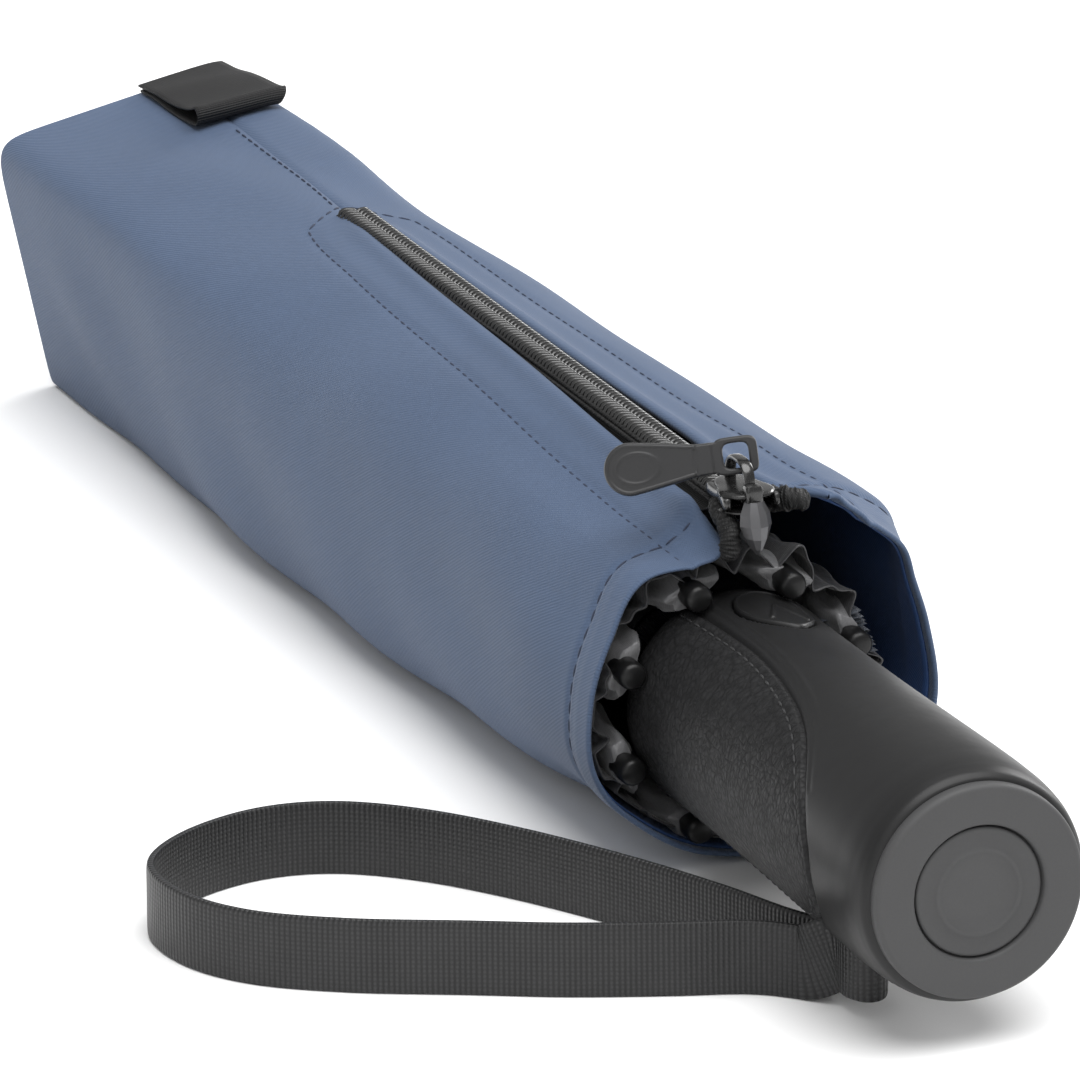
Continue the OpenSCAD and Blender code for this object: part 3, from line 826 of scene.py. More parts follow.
    def end_panel(self) -> tuple[Array, Array]:
        """The closed end: rings shrink to the middle and the cloth is drawn into a cross."""
        rho = np.concatenate([[1.0, 0.985, 0.96, 0.92], np.linspace(0.86, 0, 16)])[:, None]
        t = np.linspace(0, 1, 241)[None, :]
        first = np.full_like(t, DATUM.far_x + self.end_inset)
        angle, away = self.skin_angles(first, t)
        rim = self.surface(first, angle, self.lift(first, away))
        mid = self.middle(np.full((1, 1), DATUM.far_x))
        points = mid + (rim - mid) * rho[..., None]
        pull = np.abs(np.sin(np.radians(2 * (angle - self.far_roll)))) ** 6
        dome = 1.4 * np.sqrt(np.clip(1 - rho**6, 0, 1)) - 0.8 * pull * rho * (1 - rho) * 4
        points[..., 0] = first - dome
        return points, points[..., 1:] / 10

    def inside_shade_sheet(self) -> None:
        """A dark inner sheet just inside the mouth: painted shade of the sleeve's inside."""
        x = np.linspace(30, DATUM.mouth_x - 1.5, 30)[:, None]
        t = np.linspace(0.004, 0.996, 181)[None, :]
        angle, away = self.skin_angles(x, t)
        lift = self.lift(x, away)
        outer = self.surface(x, angle, lift - self.thickness - 0.05)
        inner = self.surface(x, angle, lift - self.thickness - 0.4)
        Parts().slab(outer, inner, self.map(x, angle)).piece(
            "sleeve_inside_painted_shade", self.body, SLEEVE_INSIDE_SHADE, "sleeve_cloth")

    def map(self, x: Array, angle: Array) -> Array:
        """Map coordinates of the cloth, in centimetres."""
        return np.stack(np.broadcast_arrays(x, np.radians(angle) * self.arc_r), -1) / 10

    def on_skin(self, x: Array, away: Array, side: int, up: float) -> Array:
        """Points on the skin at a distance from one slit edge; side is +1 near or -1 far."""
        round_by = np.degrees((self.gap(x, side) + away) / self.arc_r)
        angle = self.zip_polar(x)[0] + side * round_by
        return self.surface(x, angle, self.lift(x, np.abs(away)) + up)

    def stitches(self) -> None:
        """Rows beside the zip, across its head, round the hem, and up the ridge seam."""
        parts = Parts()
        stitch = capsule(2.3, 0.42, 0.4)
        off = self.stitch_off
        along = np.linspace(self.zip_x + 6, DATUM.mouth_x - 2, 160)
        head = np.linspace(0, 1, 30)
        rows: list[Array] = []
        for side in (1, -1):
            rows.append(self.on_skin(along, np.full_like(along, off), side, 0.02))
            rows.append(self.on_skin(self.zip_x + 6 - 9 * head, off * (1 - head), side, 0.02))
        rows.append(self.on_skin(np.linspace(-150, self.zip_x - 4, 60), np.full(60, 1.7), 1, 0.05))
        t = np.linspace(0.012, 0.988, 300)
        x = np.full_like(t, DATUM.mouth_x - self.hem)
        angle, away = self.skin_angles(x, t)
        rows.append(self.surface(x, angle, self.lift(x, away) + 0.02))
        for row in rows:
            normals = (row - self.middle(row[:, 0])) * [0, 1, 1]
            parts.stamp(stitch, *stitch_row(row, normals, 3.1))
        parts.piece("sleeve_stitches", self.body, SLEEVE_THREAD, "sleeve_cloth")

    def label(self) -> None:
        """A blank woven label folded into a loop on the ridge, open at its near end."""
        s = np.linspace(0, 1, 46)
        # Down the lower ply, round the open fold, back along the upper ply.
        low = np.stack([2 + 27 * s, 0.5 + 0.5 * s], -1)
        fold_a = np.linspace(-np.pi / 2, np.pi / 2, 14)
        fold = np.stack([29 + 1.7 * np.cos(fold_a), 2.6 + 1.6 * np.sin(fold_a)], -1)
        top = np.stack([29 - 28 * s, 4.2 - 3.0 * s**0.6], -1)
        line = np.concatenate([low[:-1], fold, top[1:]])
        y = np.linspace(-6.6, 6.6, 14)
        x = DATUM.far_x + line[:, :1] + 0 * y
        across = np.degrees(y / 27.0)[None, :]
        wave = 0.5 * np.sin(line[:, :1] / 6 + y[None, :] / 5) * smooth((line[:, :1] - 4) / 10)
        outer = self.surface(x, -12 + across, line[:, 1:] + wave + 0.25)
        inner = self.surface(x - 0.05, -12 + across, line[:, 1:] + wave - 0.1)
        uv = np.stack(np.broadcast_arrays(run_along(line)[:, None], y[None, :]), -1) / 10
        Parts().slab(outer, inner, uv).piece(
            "sleeve_label_loop", self.body, LABEL_WEAVE, "label_cloth",
            stands_for=["sleeve_label"])


# ------------------------------------------------------------------------------ zip
@dataclass
class ZipClosure:
    """The zip: tapes, the coil with its stitches, the slider with its bail, and the pull."""

    sleeve: Sleeve
    x0: float = -91.0
    x1: float = 91.0
    slider_x: float = 90.0
    bail_z: float = 8.3
    tab_yaw: float = 110.3
    tab_dip: float = 7.0
    tab_lean: float = 17.2
    tab_end: float = 16.75
    tab_width: float = 8.5

    def axes(self) -> Array:
        """The zip line's axes as rows: along it, to the far side, and out of the sleeve."""
        ahead = np.array(self.sleeve.zip_end) - np.array(self.sleeve.zip_start)
        ahead /= np.linalg.norm(ahead)
        side = np.cross([0, 0, 1.0], ahead)
        side /= np.linalg.norm(side)
        return np.stack([ahead, side, np.cross(ahead, side)])

    def line(self, x: Array, side: Array | float, up: Array | float) -> Array:
        """Points by the zip's straight line: side is across it, positive to the near side.

        The level falls away from the line by side squared over the sleeve's width.
        """
        x, side, up = np.broadcast_arrays(np.asarray(x, float), side, up)
        _, across, out = self.axes()
        level = up - side**2 / 58.0
        return self.sleeve.zip_line(x) - side[..., None] * across + level[..., None] * out

    def local(self, points: Array) -> Array:
        """Places points given in the slider's own axes: along, to the far side, and out."""
        return self.sleeve.zip_line(np.array(self.slider_x)) + points @ self.axes()

    def build(self) -> None:
        """Makes every piece of the zip."""
        self.tapes()
        self.coil()
        self.slider()
        self.pull()

    def tapes(self) -> None:
        """Two woven tapes under the cloth edges, with lumpy folded ends at the mouth."""
        parts = Parts()
        x = np.linspace(self.x0, DATUM.mouth_x - 3, 120)[:, None]
        for side in (1, -1):
            s = np.linspace(0.3, 7.5, 12)[None, :]
            angle, radius = self.sleeve.zip_polar(x)
            turn = angle + side * np.degrees(s / radius)
            held = 1 - smooth((x - 78) / 10)
            s = s * (1 - 0.55 * smooth((x - 76) / 8))
            skin = self.sleeve.surface(x, turn, -1.0)
            free = self.line(x, side * s, 0.5)
            top = skin * held[..., None] + free * (1 - held[..., None])
            low = top - 0.4 * self.axes()[2]
            parts.slab(top, low, np.stack(np.broadcast_arrays(x, s), -1) / 10, axis=1)
        ends = (((-3.0, -3.4, 0.6), (3.2, -3.6, -0.8), (5.4, -3.9, -3.6), (5.2, -4.3, -6.6)),
                ((-4.0, 4.2, 0.6), (2.0, 5.0, 1.6), (5.0, 6.6, 2.3), (5.4, 9.6, 1.6)))
        for stops in ends:  # each tape's end is folded back on itself into a short rope
            h = np.linspace(0, 1, 40)
            path = np.stack([curve_through(h, (0, 0.36, 0.7, 1), [p[k] for p in stops])
                             for k in range(3)], -1)
            bulge = (1.95 * np.sqrt(np.clip(1 - (2 * h - 1) ** 8, 0.0, 1)))[:, None, None]
            rope = sweep(path, squared(circle(17), (1, 0.85), (1, 1)), (0.3, 1, 0.2))
            along, around = h[:, None, None], np.linspace(0, 6.28, 18)[:, None]
            rope = path[:, None] + (rope - path[:, None]) * bulge * (
                1 + 0.10 * np.sin(23 * along + 2 * around) + 0.10 * np.sin(61 * along + 4 * around))
            ruv = np.stack(np.broadcast_arrays(h[:, None] * 1.2, np.linspace(0, 1.2, 18)), -1)
            parts.grid(self.local(rope), ruv)
        parts.piece("zip_tape_weave", "sleeve", TAPE_WEAVE, "zip_tape_cloth",
                    stands_for=["zip_tape"])

    def coil(self) -> None:
        """Meshed coil teeth, leaning alternately, with a sewn cord down each side."""
        parts = Parts()
        pitch = 1.5
        xs = np.arange(self.x0, self.x1 - 1, pitch)
        u = np.linspace(-1, 1, 9)
        for side in (1, -1):
            # One tooth: an arch across half the chain, leaning forward at its middle.
            path = np.stack([0.6 * (1 - u), side * (1.15 + 1.35 * u),
                             1.35 + 1.15 * np.sqrt(np.clip(1 - u**4, 0, 1))], -1)
            tube = sweep(path, squared(circle(6), (0.46, 0.46), (1, 1)), (1, 0, 0))
            at = xs + (pitch / 2 if side < 0 else 0)
            along, across, up = tube.reshape(-1, 3).T
            parts.copies(self.line(at[:, None] + along, across, up),
                         grid_quads(*tube.shape[:2]))
        parts.piece("zip_coil_teeth", "sleeve", COIL_PLASTIC, "zip_coil",
                    stands_for=["zip_chain"])
        cords = Parts()
        for side in (1, -1):
            for off, size, level in ((2.85, 0.8, 1.55), (3.65, 0.62, 1.2)):
                row = self.line(np.linspace(self.x0, self.x1, 200), side * off, level)
                places, frames = stitch_row(row, row - self.sleeve.middle(row[:, 0]), 0.85)
                c, s = math.cos(side * 0.6), math.sin(side * 0.6)
                turned = np.stack([c * frames[:, 0] + s * frames[:, 1],
                                   c * frames[:, 1] - s * frames[:, 0], frames[:, 2]], 1)
                cords.stamp(capsule(1.05, size, 0.7), places, turned)
        cords.piece("zip_cord_stitches", "sleeve", TAPE_WEAVE, "zip_tape_cloth")

    def shield(self, level: float, scale: float, count: int = 64) -> Array:
        """The slider's plan at a height: a rounded shield, wide at the mouth end."""
        a = np.linspace(0, 2 * np.pi, count + 1)
        half_length = 6.1
        x, y = squared(a, (half_length * scale, scale), (1, 0.6)).T
        wide = 3.5 + 1.5 * smooth((x / half_length + 0.35) / 0.9)
        return np.stack([x + 0.1, wide * y, np.full_like(x, level)], -1)

    def slider(self) -> None:
        """Rounded plates, side flanges, a bail arched over them, and a wedge nose."""
        parts = Parts()
        levels = ((0, 0.0), (0, 0.90), (0.12, 0.97), (0.4, 1.0), (0.7, 0.985), (0.9, 0.93),
                  (1.0, 0.85), (1.02, 0.0))
        for base, lift in ((3.15, 1.0), (0.7, 0.7)):
            parts.grid(self.local(np.stack([self.shield(base + lift * z, s)
                                            for z, s in levels])))
        a = circle(12)
        for side in (1, -1):
            x = np.linspace(-5.6, 6.0, 16)
            path = np.stack([x, side * (3.3 + 0.9 * smooth((x + 1) / 6)), np.full(16, 2.6)], -1)
            flange = sweep(path, squared(a, (0.62, 0.95), (0.6, 0.6)), (0, 0, 1))
            for end in (0, -1):
                flange[end] = path[end]
            parts.grid(self.local(flange))
        # The bail: a flat strap that rises behind, runs over and drops to the front block.
        b = np.linspace(0, np.pi, 40)
        arch = np.stack([-0.2 - 4.2 * np.cos(b) * np.abs(np.cos(b) + 1e-9) ** -0.3,
                         0 * b, 3.6 + (self.bail_z - 3.7) * np.sin(b) ** 0.62], -1)
        flat = squared(a, (0.95, 0.42), (0.5, 0.7))
        parts.grid(self.local(sweep(arch, flat[:, ::-1], (0, 1, 0))))
        # The front block that the bail springs from.
        rows = ((2.4, 0.0), (2.4, 1.25), (2.9, 1.5), (4.6, 1.5), (5.3, 1.25), (5.5, 0.0))
        c = np.linspace(0, 2 * np.pi, 33)
        plans = [squared(c, (1.3 * h / 1.5, h), (0.4, 0.4)) + [5.3, 0] for _, h in rows]
        parts.grid(self.local(np.stack([np.column_stack([plan, np.full_like(c, z)])
                                        for plan, (z, _) in zip(plans, rows)])))
        parts.piece("zip_slider_body", "zip_slider", ENAMEL, "slider_enamel",
                    stands_for=["zip_slider"], sharp=42)
        self.nose()

    def nose(self) -> None:
        """The faceted wedge under the front block, which drops over the mouth to a blunt tip."""
        rows = ((2.9, 1.6, 5.0, 6.6), (1.0, 2.5, 4.9, 7.6), (-0.8, 2.7, 4.9, 8.2),
                (-2.8, 2.0, 5.2, 8.3), (-4.6, 1.0, 5.8, 7.9), (-5.5, 0.3, 6.4, 7.3))
        ring = [np.stack([np.array([lo, (lo + hi) / 2, hi, hi + 0.5, hi, (lo + hi) / 2, lo, lo]),
                          half * np.array([-0.7, -1, -0.55, 0, 0.55, 1, 0.7, -0.7]),
                          np.full(8, z)], -1) for z, half, lo, hi in rows]
        shut = [ring[0].mean(0) + 0 * ring[0], *ring, ring[-1].mean(0) + 0 * ring[-1]]
        Parts().grid(self.local(np.stack(shut))).piece(
            "zip_slider_nose", "zip_slider", NOSE_METAL, "slider_enamel", sharp=12)

    def pull_outline(self) -> Array:
        """The pull's edge in its own plane, round from the eye: eye, neck, paddle, round end."""
        a = np.radians(np.linspace(-83, 83, 60))
        r = self.tab_width / 2
        paddle = np.stack([self.tab_end + r * np.cos(a), r * np.sin(a)], -1)
        x = np.linspace(self.tab_end - 0.2, 3.9, 50)
        neck = np.stack([x, curve_through(x, (3.9, 5.5, 10, 14, 16.6),
                                          (2.55, 2.55, 3.2, 3.85, 4.22))], -1)
        b = np.radians(np.linspace(38, 322, 80))
        shape = (np.abs(np.cos(b) / 3.5) ** 5 + np.abs(np.sin(b) / 3.0) ** 5) ** (-1 / 5)
        eye = np.stack([shape * np.cos(b), shape * np.sin(b)], -1)
        return np.concatenate([paddle, neck, eye, (neck * [1, -1])[::-1]])

    def pull(self) -> None:
        """The moulded pull: an eye on the bail that runs into a paddle with a thin raised edge.

        The face is a fan of lines from the eye's hole out to the edge. Its half thickness
        rounds off at both, steps up from eye to paddle, and carries the border and an oval.
        """
        edge = self.pull_outline()
        edge = np.concatenate([edge, edge[:1]])
        way = np.arctan2(edge[:, 1], edge[:, 0])
        hole_r = (np.abs(np.cos(way) / 2.05) ** 4 + np.abs(np.sin(way) / 2.0) ** 4) ** (-1 / 4)
        hole = np.stack([hole_r * np.cos(way), hole_r * np.sin(way)], -1)
        rho = (0.5 - 0.5 * np.cos(np.linspace(0, np.pi, 90)))[:, None, None]
        flat = hole[None] * (1 - rho) + edge[None] * rho
        out, off = (np.abs(signed_distance(flat, line[:-1])) for line in (edge, hole))
        rim = np.clip(np.minimum(out, off) / 0.45, 0, 1)
        x = flat[..., 0]
        half = 0.55 + 0.25 * smooth((x - 3.5) / 0.45) - 0.14 * bell(x - 6.4, 0.22)
        half = half + 0.13 * (1 - smooth((out - 0.55) / 0.3)) * smooth((x - 6.6) / 0.5)
        oval = np.hypot((x - self.tab_end + 1) / 3.4, flat[..., 1] / 2.4)
        half = half + 0.14 * bell(oval - 1, 0.09)
        half = half * np.sqrt(1 - (1 - rim) ** 2)
        faces = [np.stack([x, k * half, flat[..., 1]], -1) for k in (1, -1)]
        sheet = np.concatenate([faces[0], faces[1][::-1]]) + [0.5, 0, 0.5]
        turn = np.array(Matrix.Rotation(math.radians(-self.tab_yaw), 3, "Z")
                        @ Matrix.Rotation(math.radians(self.tab_dip), 3, "Y")
                        @ Matrix.Rotation(math.radians(self.tab_lean), 3, "X"))
        uv = np.concatenate([flat, flat[::-1]]) / 10
        Parts().grid(self.local(np.array([-0.2, 0, self.bail_z]) + sheet @ turn.T), uv).piece(
            "zip_pull", "zip_puller", PULL_RUBBER, "puller_rubber",
            stands_for=["zip_ring", "zip_puller"])


# ------------------------------------------------------------------------------ handle
@dataclass
class Handle:
    """The handle: soft-touch shell, stitched leather inlay, end cap, badge disc and button."""

    radii_x: tuple[float, ...] = (85, 85.5, 86.4, 88, 96, 112, 130, 150, 164, 173, 178.5, 181,
                                  182.4, 183)
    radii: tuple[float, ...] = (15.4, 16.6, 17.5, 18.0, 18.2, 18.3, 18.5, 18.95, 19.25, 19.3, 19.1,
                                18.7, 18.1, 17.4)
    top_x: tuple[float, ...] = (84, 100, 112, 122, 131, 139, 146, 152, 157, 161, 163.4, 164.4)
    top_angle: tuple[float, ...] = (25, 22.5, 21.5, 23.5, 27.5, 33, 41, 52, 65, 78, 90, 103)
    low_x: tuple[float, ...] = (84, 120, 140, 150, 157, 161.5, 163.8, 164.4)
    low_angle: tuple[float, ...] = (139, 140, 139.5, 137, 131, 122, 112, 103)
    arc_r: float = 18.6
    button_x: float = 99.0
    button_angle: float = -9.0
    cap_r: float = 17.25
    pocket_r: float = 10.7
    button_line: tuple[tuple[float, float], ...] = (
        (-9.5, 0.4), (-8.8, 3), (-6.6, 5.2), (-3.4, 6.3), (0.4, 6.4), (4.2, 5.4), (7.4, 3.2),
        (9.6, 0.2), (7.4, -3), (4.2, -5.2), (0.4, -6.3), (-3.4, -6.2), (-6.6, -5), (-8.8, -2.4))

    def radius(self, x: Array) -> Array:
        """Outside radius by place along the handle."""
        return curve_through(x, self.radii_x, self.radii)

    def flat(self, x: Array, angle: Array) -> Array:
        """The handle's surface laid flat: (x, arc) in millimetres, arc round from the top."""
        return np.stack(np.broadcast_arrays(x, np.radians(angle) * self.arc_r), -1)

    def inlay_outline(self) -> Array:
        """The inlay's edge as (x, arc)."""
        start, end = self.top_x[0], self.top_x[-1]
        x = start + (end - start) * np.sin(np.linspace(0, np.pi / 2, 60))
        top = self.flat(x, curve_through(x, self.top_x, self.top_angle))
        low = self.flat(x, curve_through(x, self.low_x, self.low_angle))
        return np.concatenate([top, low[-2::-1]])

    def button_outline(self) -> Array:
        """The button's edge as (x, arc), smoothed."""
        line = loop_through(self.button_line, 16)
        return np.stack([self.button_x + line[:, 0],
                         math.radians(self.button_angle) * self.arc_r - line[:, 1]], -1)

    def build(self) -> None:
        """Makes every piece of the handle."""
        self.shell()
        self.inlay()
        self.cap()
        self.button()

    def shell(self) -> None:
        """The shell: a body of revolution with its grooves, wells and welt worked in."""
        x = np.concatenate([np.linspace(85, 88, 9)[:-1], np.linspace(88, 178, 196),
                            np.linspace(178.4, 183, 14)])[:, None]
        angle = np.linspace(-180, 180, 281)[None, :]
        gx, ga = np.broadcast_arrays(x, angle)
        flat = self.flat(gx, ga)
        inlay = signed_distance(flat, self.inlay_outline())
        button = signed_distance(flat, self.button_outline())
        lift = -0.85 * smooth((inlay + 0.15) / 0.7) - 0.35 * bell(inlay + 0.1, 0.4)
        welt = bell(inlay + 2.4, 0.42) * smooth((150 - gx) / 20) * (ga < 60)
        lift = lift + 0.22 * welt - 0.16 * bell(inlay + 1.5, 0.4) * (ga < 60)
        lift = lift - 4.6 * smooth((button + 0.05) / 0.35) - 0.22 * bell(button + 0.2, 0.35)
        slot = np.hypot((gx - 163) / 12.0, (ga - 150) / 19.0)
        lift = lift - 3.0 * smooth((1.08 - slot) / 0.16)
        outside = DATUM.ring(gx, self.radius(gx) + lift, ga)
        inside = DATUM.ring(np.array([[183.0], [85.0]]), np.array([[12.0], [12.0]]), angle)
        uv = flat / 10
        closed = np.concatenate([outside, inside, outside[:1]])
        cuv = np.concatenate([uv, np.broadcast_to(uv[:1], (2, *uv.shape[1:])), uv[:1]])
        Parts().grid(closed, cuv).piece("handle_body", "handle", HANDLE_SKIN,
                                        "handle_soft_touch", stands_for=["handle_shell"])

    def inlay(self) -> None:
        """The leather inlay: a curved sheet whose edge tucks into the groove, and its stitches."""
        u = np.sin(np.linspace(0.02, np.pi / 2, 150))[:, None]
        x = 84.6 + (164.2 - 84.6) * u
        v = (0.5 - 0.5 * np.cos(np.linspace(0, np.pi, 110)))[None, :]
        top = curve_through(x, self.top_x, self.top_angle)
        low = curve_through(x, self.low_x, self.low_angle)
        angle = top + (low - top) * v
        gx = np.broadcast_to(x, angle.shape)
        flat = self.flat(gx, angle)
        away = np.abs(signed_distance(flat, self.inlay_outline()))
        lift = -0.75 + 0.85 * smooth(away / 1.1) - 0.12 * bell(away - 2.3, 0.45)
        base = self.radius(gx)
        outer = DATUM.ring(gx, base + lift, angle)
        under = DATUM.ring(gx, base - 1.2, angle)
        Parts().slab(outer, under, flat / 10, axis=1).piece(
            "grip_inlay", "handle", GRIP_LEATHER, "grip_leather", stands_for=["grip_panel"])
        self.inlay_stitches()

    def inlay_stitches(self) -> None:
        """A row of stitches just inside the inlay's edge."""
        line = self.inlay_outline()
        step = np.gradient(line, axis=0)
        step /= np.linalg.norm(step, axis=1, keepdims=True)
        inward = np.stack([-step[:, 1], step[:, 0]], -1)
        line = line + 2.3 * inward
        line = line[line[:, 0] > 88]
        angle = np.degrees(line[:, 1] / self.arc_r)
        row = DATUM.ring(line[:, 0], self.radius(line[:, 0]) + 0.02, angle)
        normals = (row - [0, DATUM.axis_y, DATUM.axis_z]) * [0, 1, 1]
        Parts().stamp(capsule(2.0, 0.42, 0.42), *stitch_row(row, normals, 2.7)).piece(
            "grip_stitches", "handle", GRIP_THREAD, "grip_leather")

    def cap(self) -> None:
        """The end cap and its sunk plain disc: faces turned about the shaft."""
        cap_r, pocket = self.cap_r, self.pocket_r
        r = pocket - 0.35
        # Profiles as (radius, depth under the end face).
        cap = ((12, 2.8), (cap_r - 0.3, 2.6), (cap_r + 0.05, 2.0), (cap_r, 0.8),
               (cap_r - 0.15, 0.4), (cap_r - 0.5, 0.1), (cap_r - 0.9, 0), (pocket + 0.7, 0),
               (pocket + 0.35, 0.07), (pocket + 0.12, 0.3), (pocket + 0.02, 0.7), (pocket, 1.5),
               (pocket - 0.6, 1.55), (4, 1.6), (0, 1.6))
        disc = ((0, 1.55), (r, 1.55), (r + 0.05, 0.9), (r - 0.15, 0.65), (r - 0.5, 0.6),
                (7.4, 0.6), (7.2, 0.38), (6.8, 0.3), (6.4, 0.38), (6.2, 0.6), (3, 0.58),
                (0, 0.58))
        for name, slot, node, profile in (("cap_face", "cap_grey", "end_cap", cap),
                                          ("cap_disc", "badge_grey", "cap_badge", disc)):
            radius, depth = np.array(profile, float).T[..., None]
            turned = DATUM.ring(DATUM.end_x - depth, radius, np.linspace(-180, 180, 145))
            Parts().grid(turned).piece(name, "handle", CAP_SKIN, slot, stands_for=[node])

    def button(self) -> None:
        """The push button: a leaf of the handle's own surface with a raised arrow line."""
        edge = self.button_outline()
        mid = edge.mean(0)
        rho = np.concatenate([np.linspace(0, 0.97, 70), [0.985, 1.0, 1.0]])[:, None]
        drop = np.concatenate([np.zeros(70), [0.1, 0.45, 2.2]])[:, None]
        line = np.concatenate([edge, edge[:1]])
        line = mid + (line - mid) * 0.965
        pts = mid + (line[None] - mid) * rho[..., None]
        gx, arc = pts[..., 0], pts[..., 1]
        arrow = np.array([(103.8, -6.4), (97.0, -3.2), (103.0, -0.4), (103.0, -0.5), (97.1, -3.3),
                          (103.7, -6.5)])
        mark = np.abs(signed_distance(pts, arrow))
        lift = 0.26 * bell(rho - 0.93, 0.035) - drop + 0.34 * bell(mark, 0.3)
        top = DATUM.ring(gx, self.radius(gx) + lift, np.degrees(arc / self.arc_r))
        Parts().grid(top, pts / 10).piece("button_skin", "button", HANDLE_SKIN, "button_soft",
                                          stands_for=["push_button"])


# ------------------------------------------------------------------------------ strap
@dataclass
class WristStrap:
    """The webbing loop that stands on the floor and enters the handle at its pin."""

    pin: tuple[float, float] = (163.0, -13.0)
    width: float = 12.0
    thick: float = 1.3
    climb: float = 3.0
    steps: int = 14

    def route(self) -> Array:
        """The route's points, listed round the loop from the pin and back to it."""
        x, y = self.pin
        return np.array([
            (x - 0.4, y - 2.7), (x - 5, y - 3.1), (152, -20.5), (147.5, -26.5), (143.5, -38),
            (138, -52), (131, -66), (122.5, -83), (113, -95.5), (101, -102), (87, -102),
            (76.5, -93), (70.5, -79), (72, -66), (81, -54), (96, -42.5), (115, -31.5),
            (132, -23.5), (145, -18.5), (x - 9, y - 0.5), (x - 4, y + 2.4), (x + 0.2, y + 2.9),
            (x + 2.6, y + 1.3), (x + 2.6, y - 1)])

    def build(self) -> None:
        flat = loop_through(self.route(), self.steps)
        near = np.hypot(flat[:, 0] - self.pin[0], flat[:, 1] - self.pin[1])
        k = smooth((12 - near) / 8)
        path = np.column_stack([flat, 0.15 + self.width / 2 + self.climb * k])
        section = squared(circle(32), (self.thick / 2, self.width / 2), (0.35, 0.22))
        grid = sweep(path, section, (0, 0, 1), closed=True)
        run = run_along(np.concatenate([path, path[:1]]))
        across = np.concatenate([section, section[:1]])[:, 1]
        uv = np.stack(np.broadcast_arrays(run[:, None], across), -1) / 10
        strap = Parts().grid(grid, uv).piece("strap_loop", "strap", STRAP_WEB, "strap_webbing",
                                             stands_for=["wrist_strap"])


# ------------------------------------------------------------------------------ frame
@dataclass
class FoldingFrame:
    """Finishes for the shaft and arms, and the round tips seen in the mouth."""

    def build(self) -> None:
        """Dresses every carried-over node and adds the tip caps."""
        dress: dict[str, Finish] = {
            "lower_tube": SHAFT_METAL, "middle_tube": SHAFT_METAL, "upper_tube": SHAFT_METAL,
            "crown": FRAME_PLASTIC, "top_cap": FRAME_PLASTIC, "runner": FRAME_PLASTIC,
            "strap_pin": SHAFT_METAL}
        for i in range(1, DATUM.arms + 1):
            dress |= {f"inner_rib_{i}": RIB_METAL, f"middle_rib_{i}": RIB_METAL,
                      f"outer_rib_{i}": RIB_GLASS, f"stretcher_{i}": RIB_METAL}
            self.tip(i)
        for node, finish in dress.items():
            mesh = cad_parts[node].data
            mesh.materials.clear()
            mesh.materials.append(finish.material())

    def tip(self, number: int) -> None:
        """A turned tip cap with a collar at the end of an outer rib, and its cloth pocket."""
        out = 21.0
        profile = np.array([(246, 1.5), (247, 2.0), (252, 2.2), (254, 2.35), (255, 2.2),
                            (255.4, 2.3), (258.2, 2.3), (258.9, 2.0), (259.2, 1.5), (259.3, 0)])
        b = np.linspace(0, 2 * np.pi, 25)[None, :]
        local = np.stack(np.broadcast_arrays(profile[:, :1], out + profile[:, 1:] * np.cos(b),
                                             profile[:, 1:] * np.sin(b)), -1)
        Parts().grid(DATUM.arm(number, local)).piece(
            f"rib_tip_{number}", f"outer_rib_{number}", TIP_PLASTIC, "rib_glassfibre")
        # The pocket: a flattened tube of canopy cloth, drawn in at its mouth and crumpled.
        u = np.linspace(0, 1, 40)[:, None]
        swell = 3.0 + 1.9 * np.sin(np.pi * u**0.6) - 0.3 * smooth((u - 0.8) / 0.2)
        creased = swell * (1 + 0.13 * np.sin(5 * b + 9 * u + 2.1 * number)
                           + 0.10 * np.sin(3 * b - 17 * u + number))
        tube = np.stack([228 + 27.5 * u + 0 * b, out + 0.72 * creased * np.cos(b),
                         1.6 * creased * np.sin(b)], -1)
        ends = [tube[:1] * [1, 0, 0] + [0, out, 0], tube, tube[-1:] * [1, 0, 0] + [-1.5, out, 0]]
        Parts().grid(DATUM.arm(number, np.concatenate(ends))).piece(
            f"rib_pocket_{number}", f"outer_rib_{number}", POCKET_CLOTH, "canopy_cloth")


# ------------------------------------------------------------------------------ canopy
class Ring(Enum):
    """The canopy's three rings, by the rib section that carries each."""

    INNER = "inner"
    MIDDLE = "middle"
    OUTER = "outer"


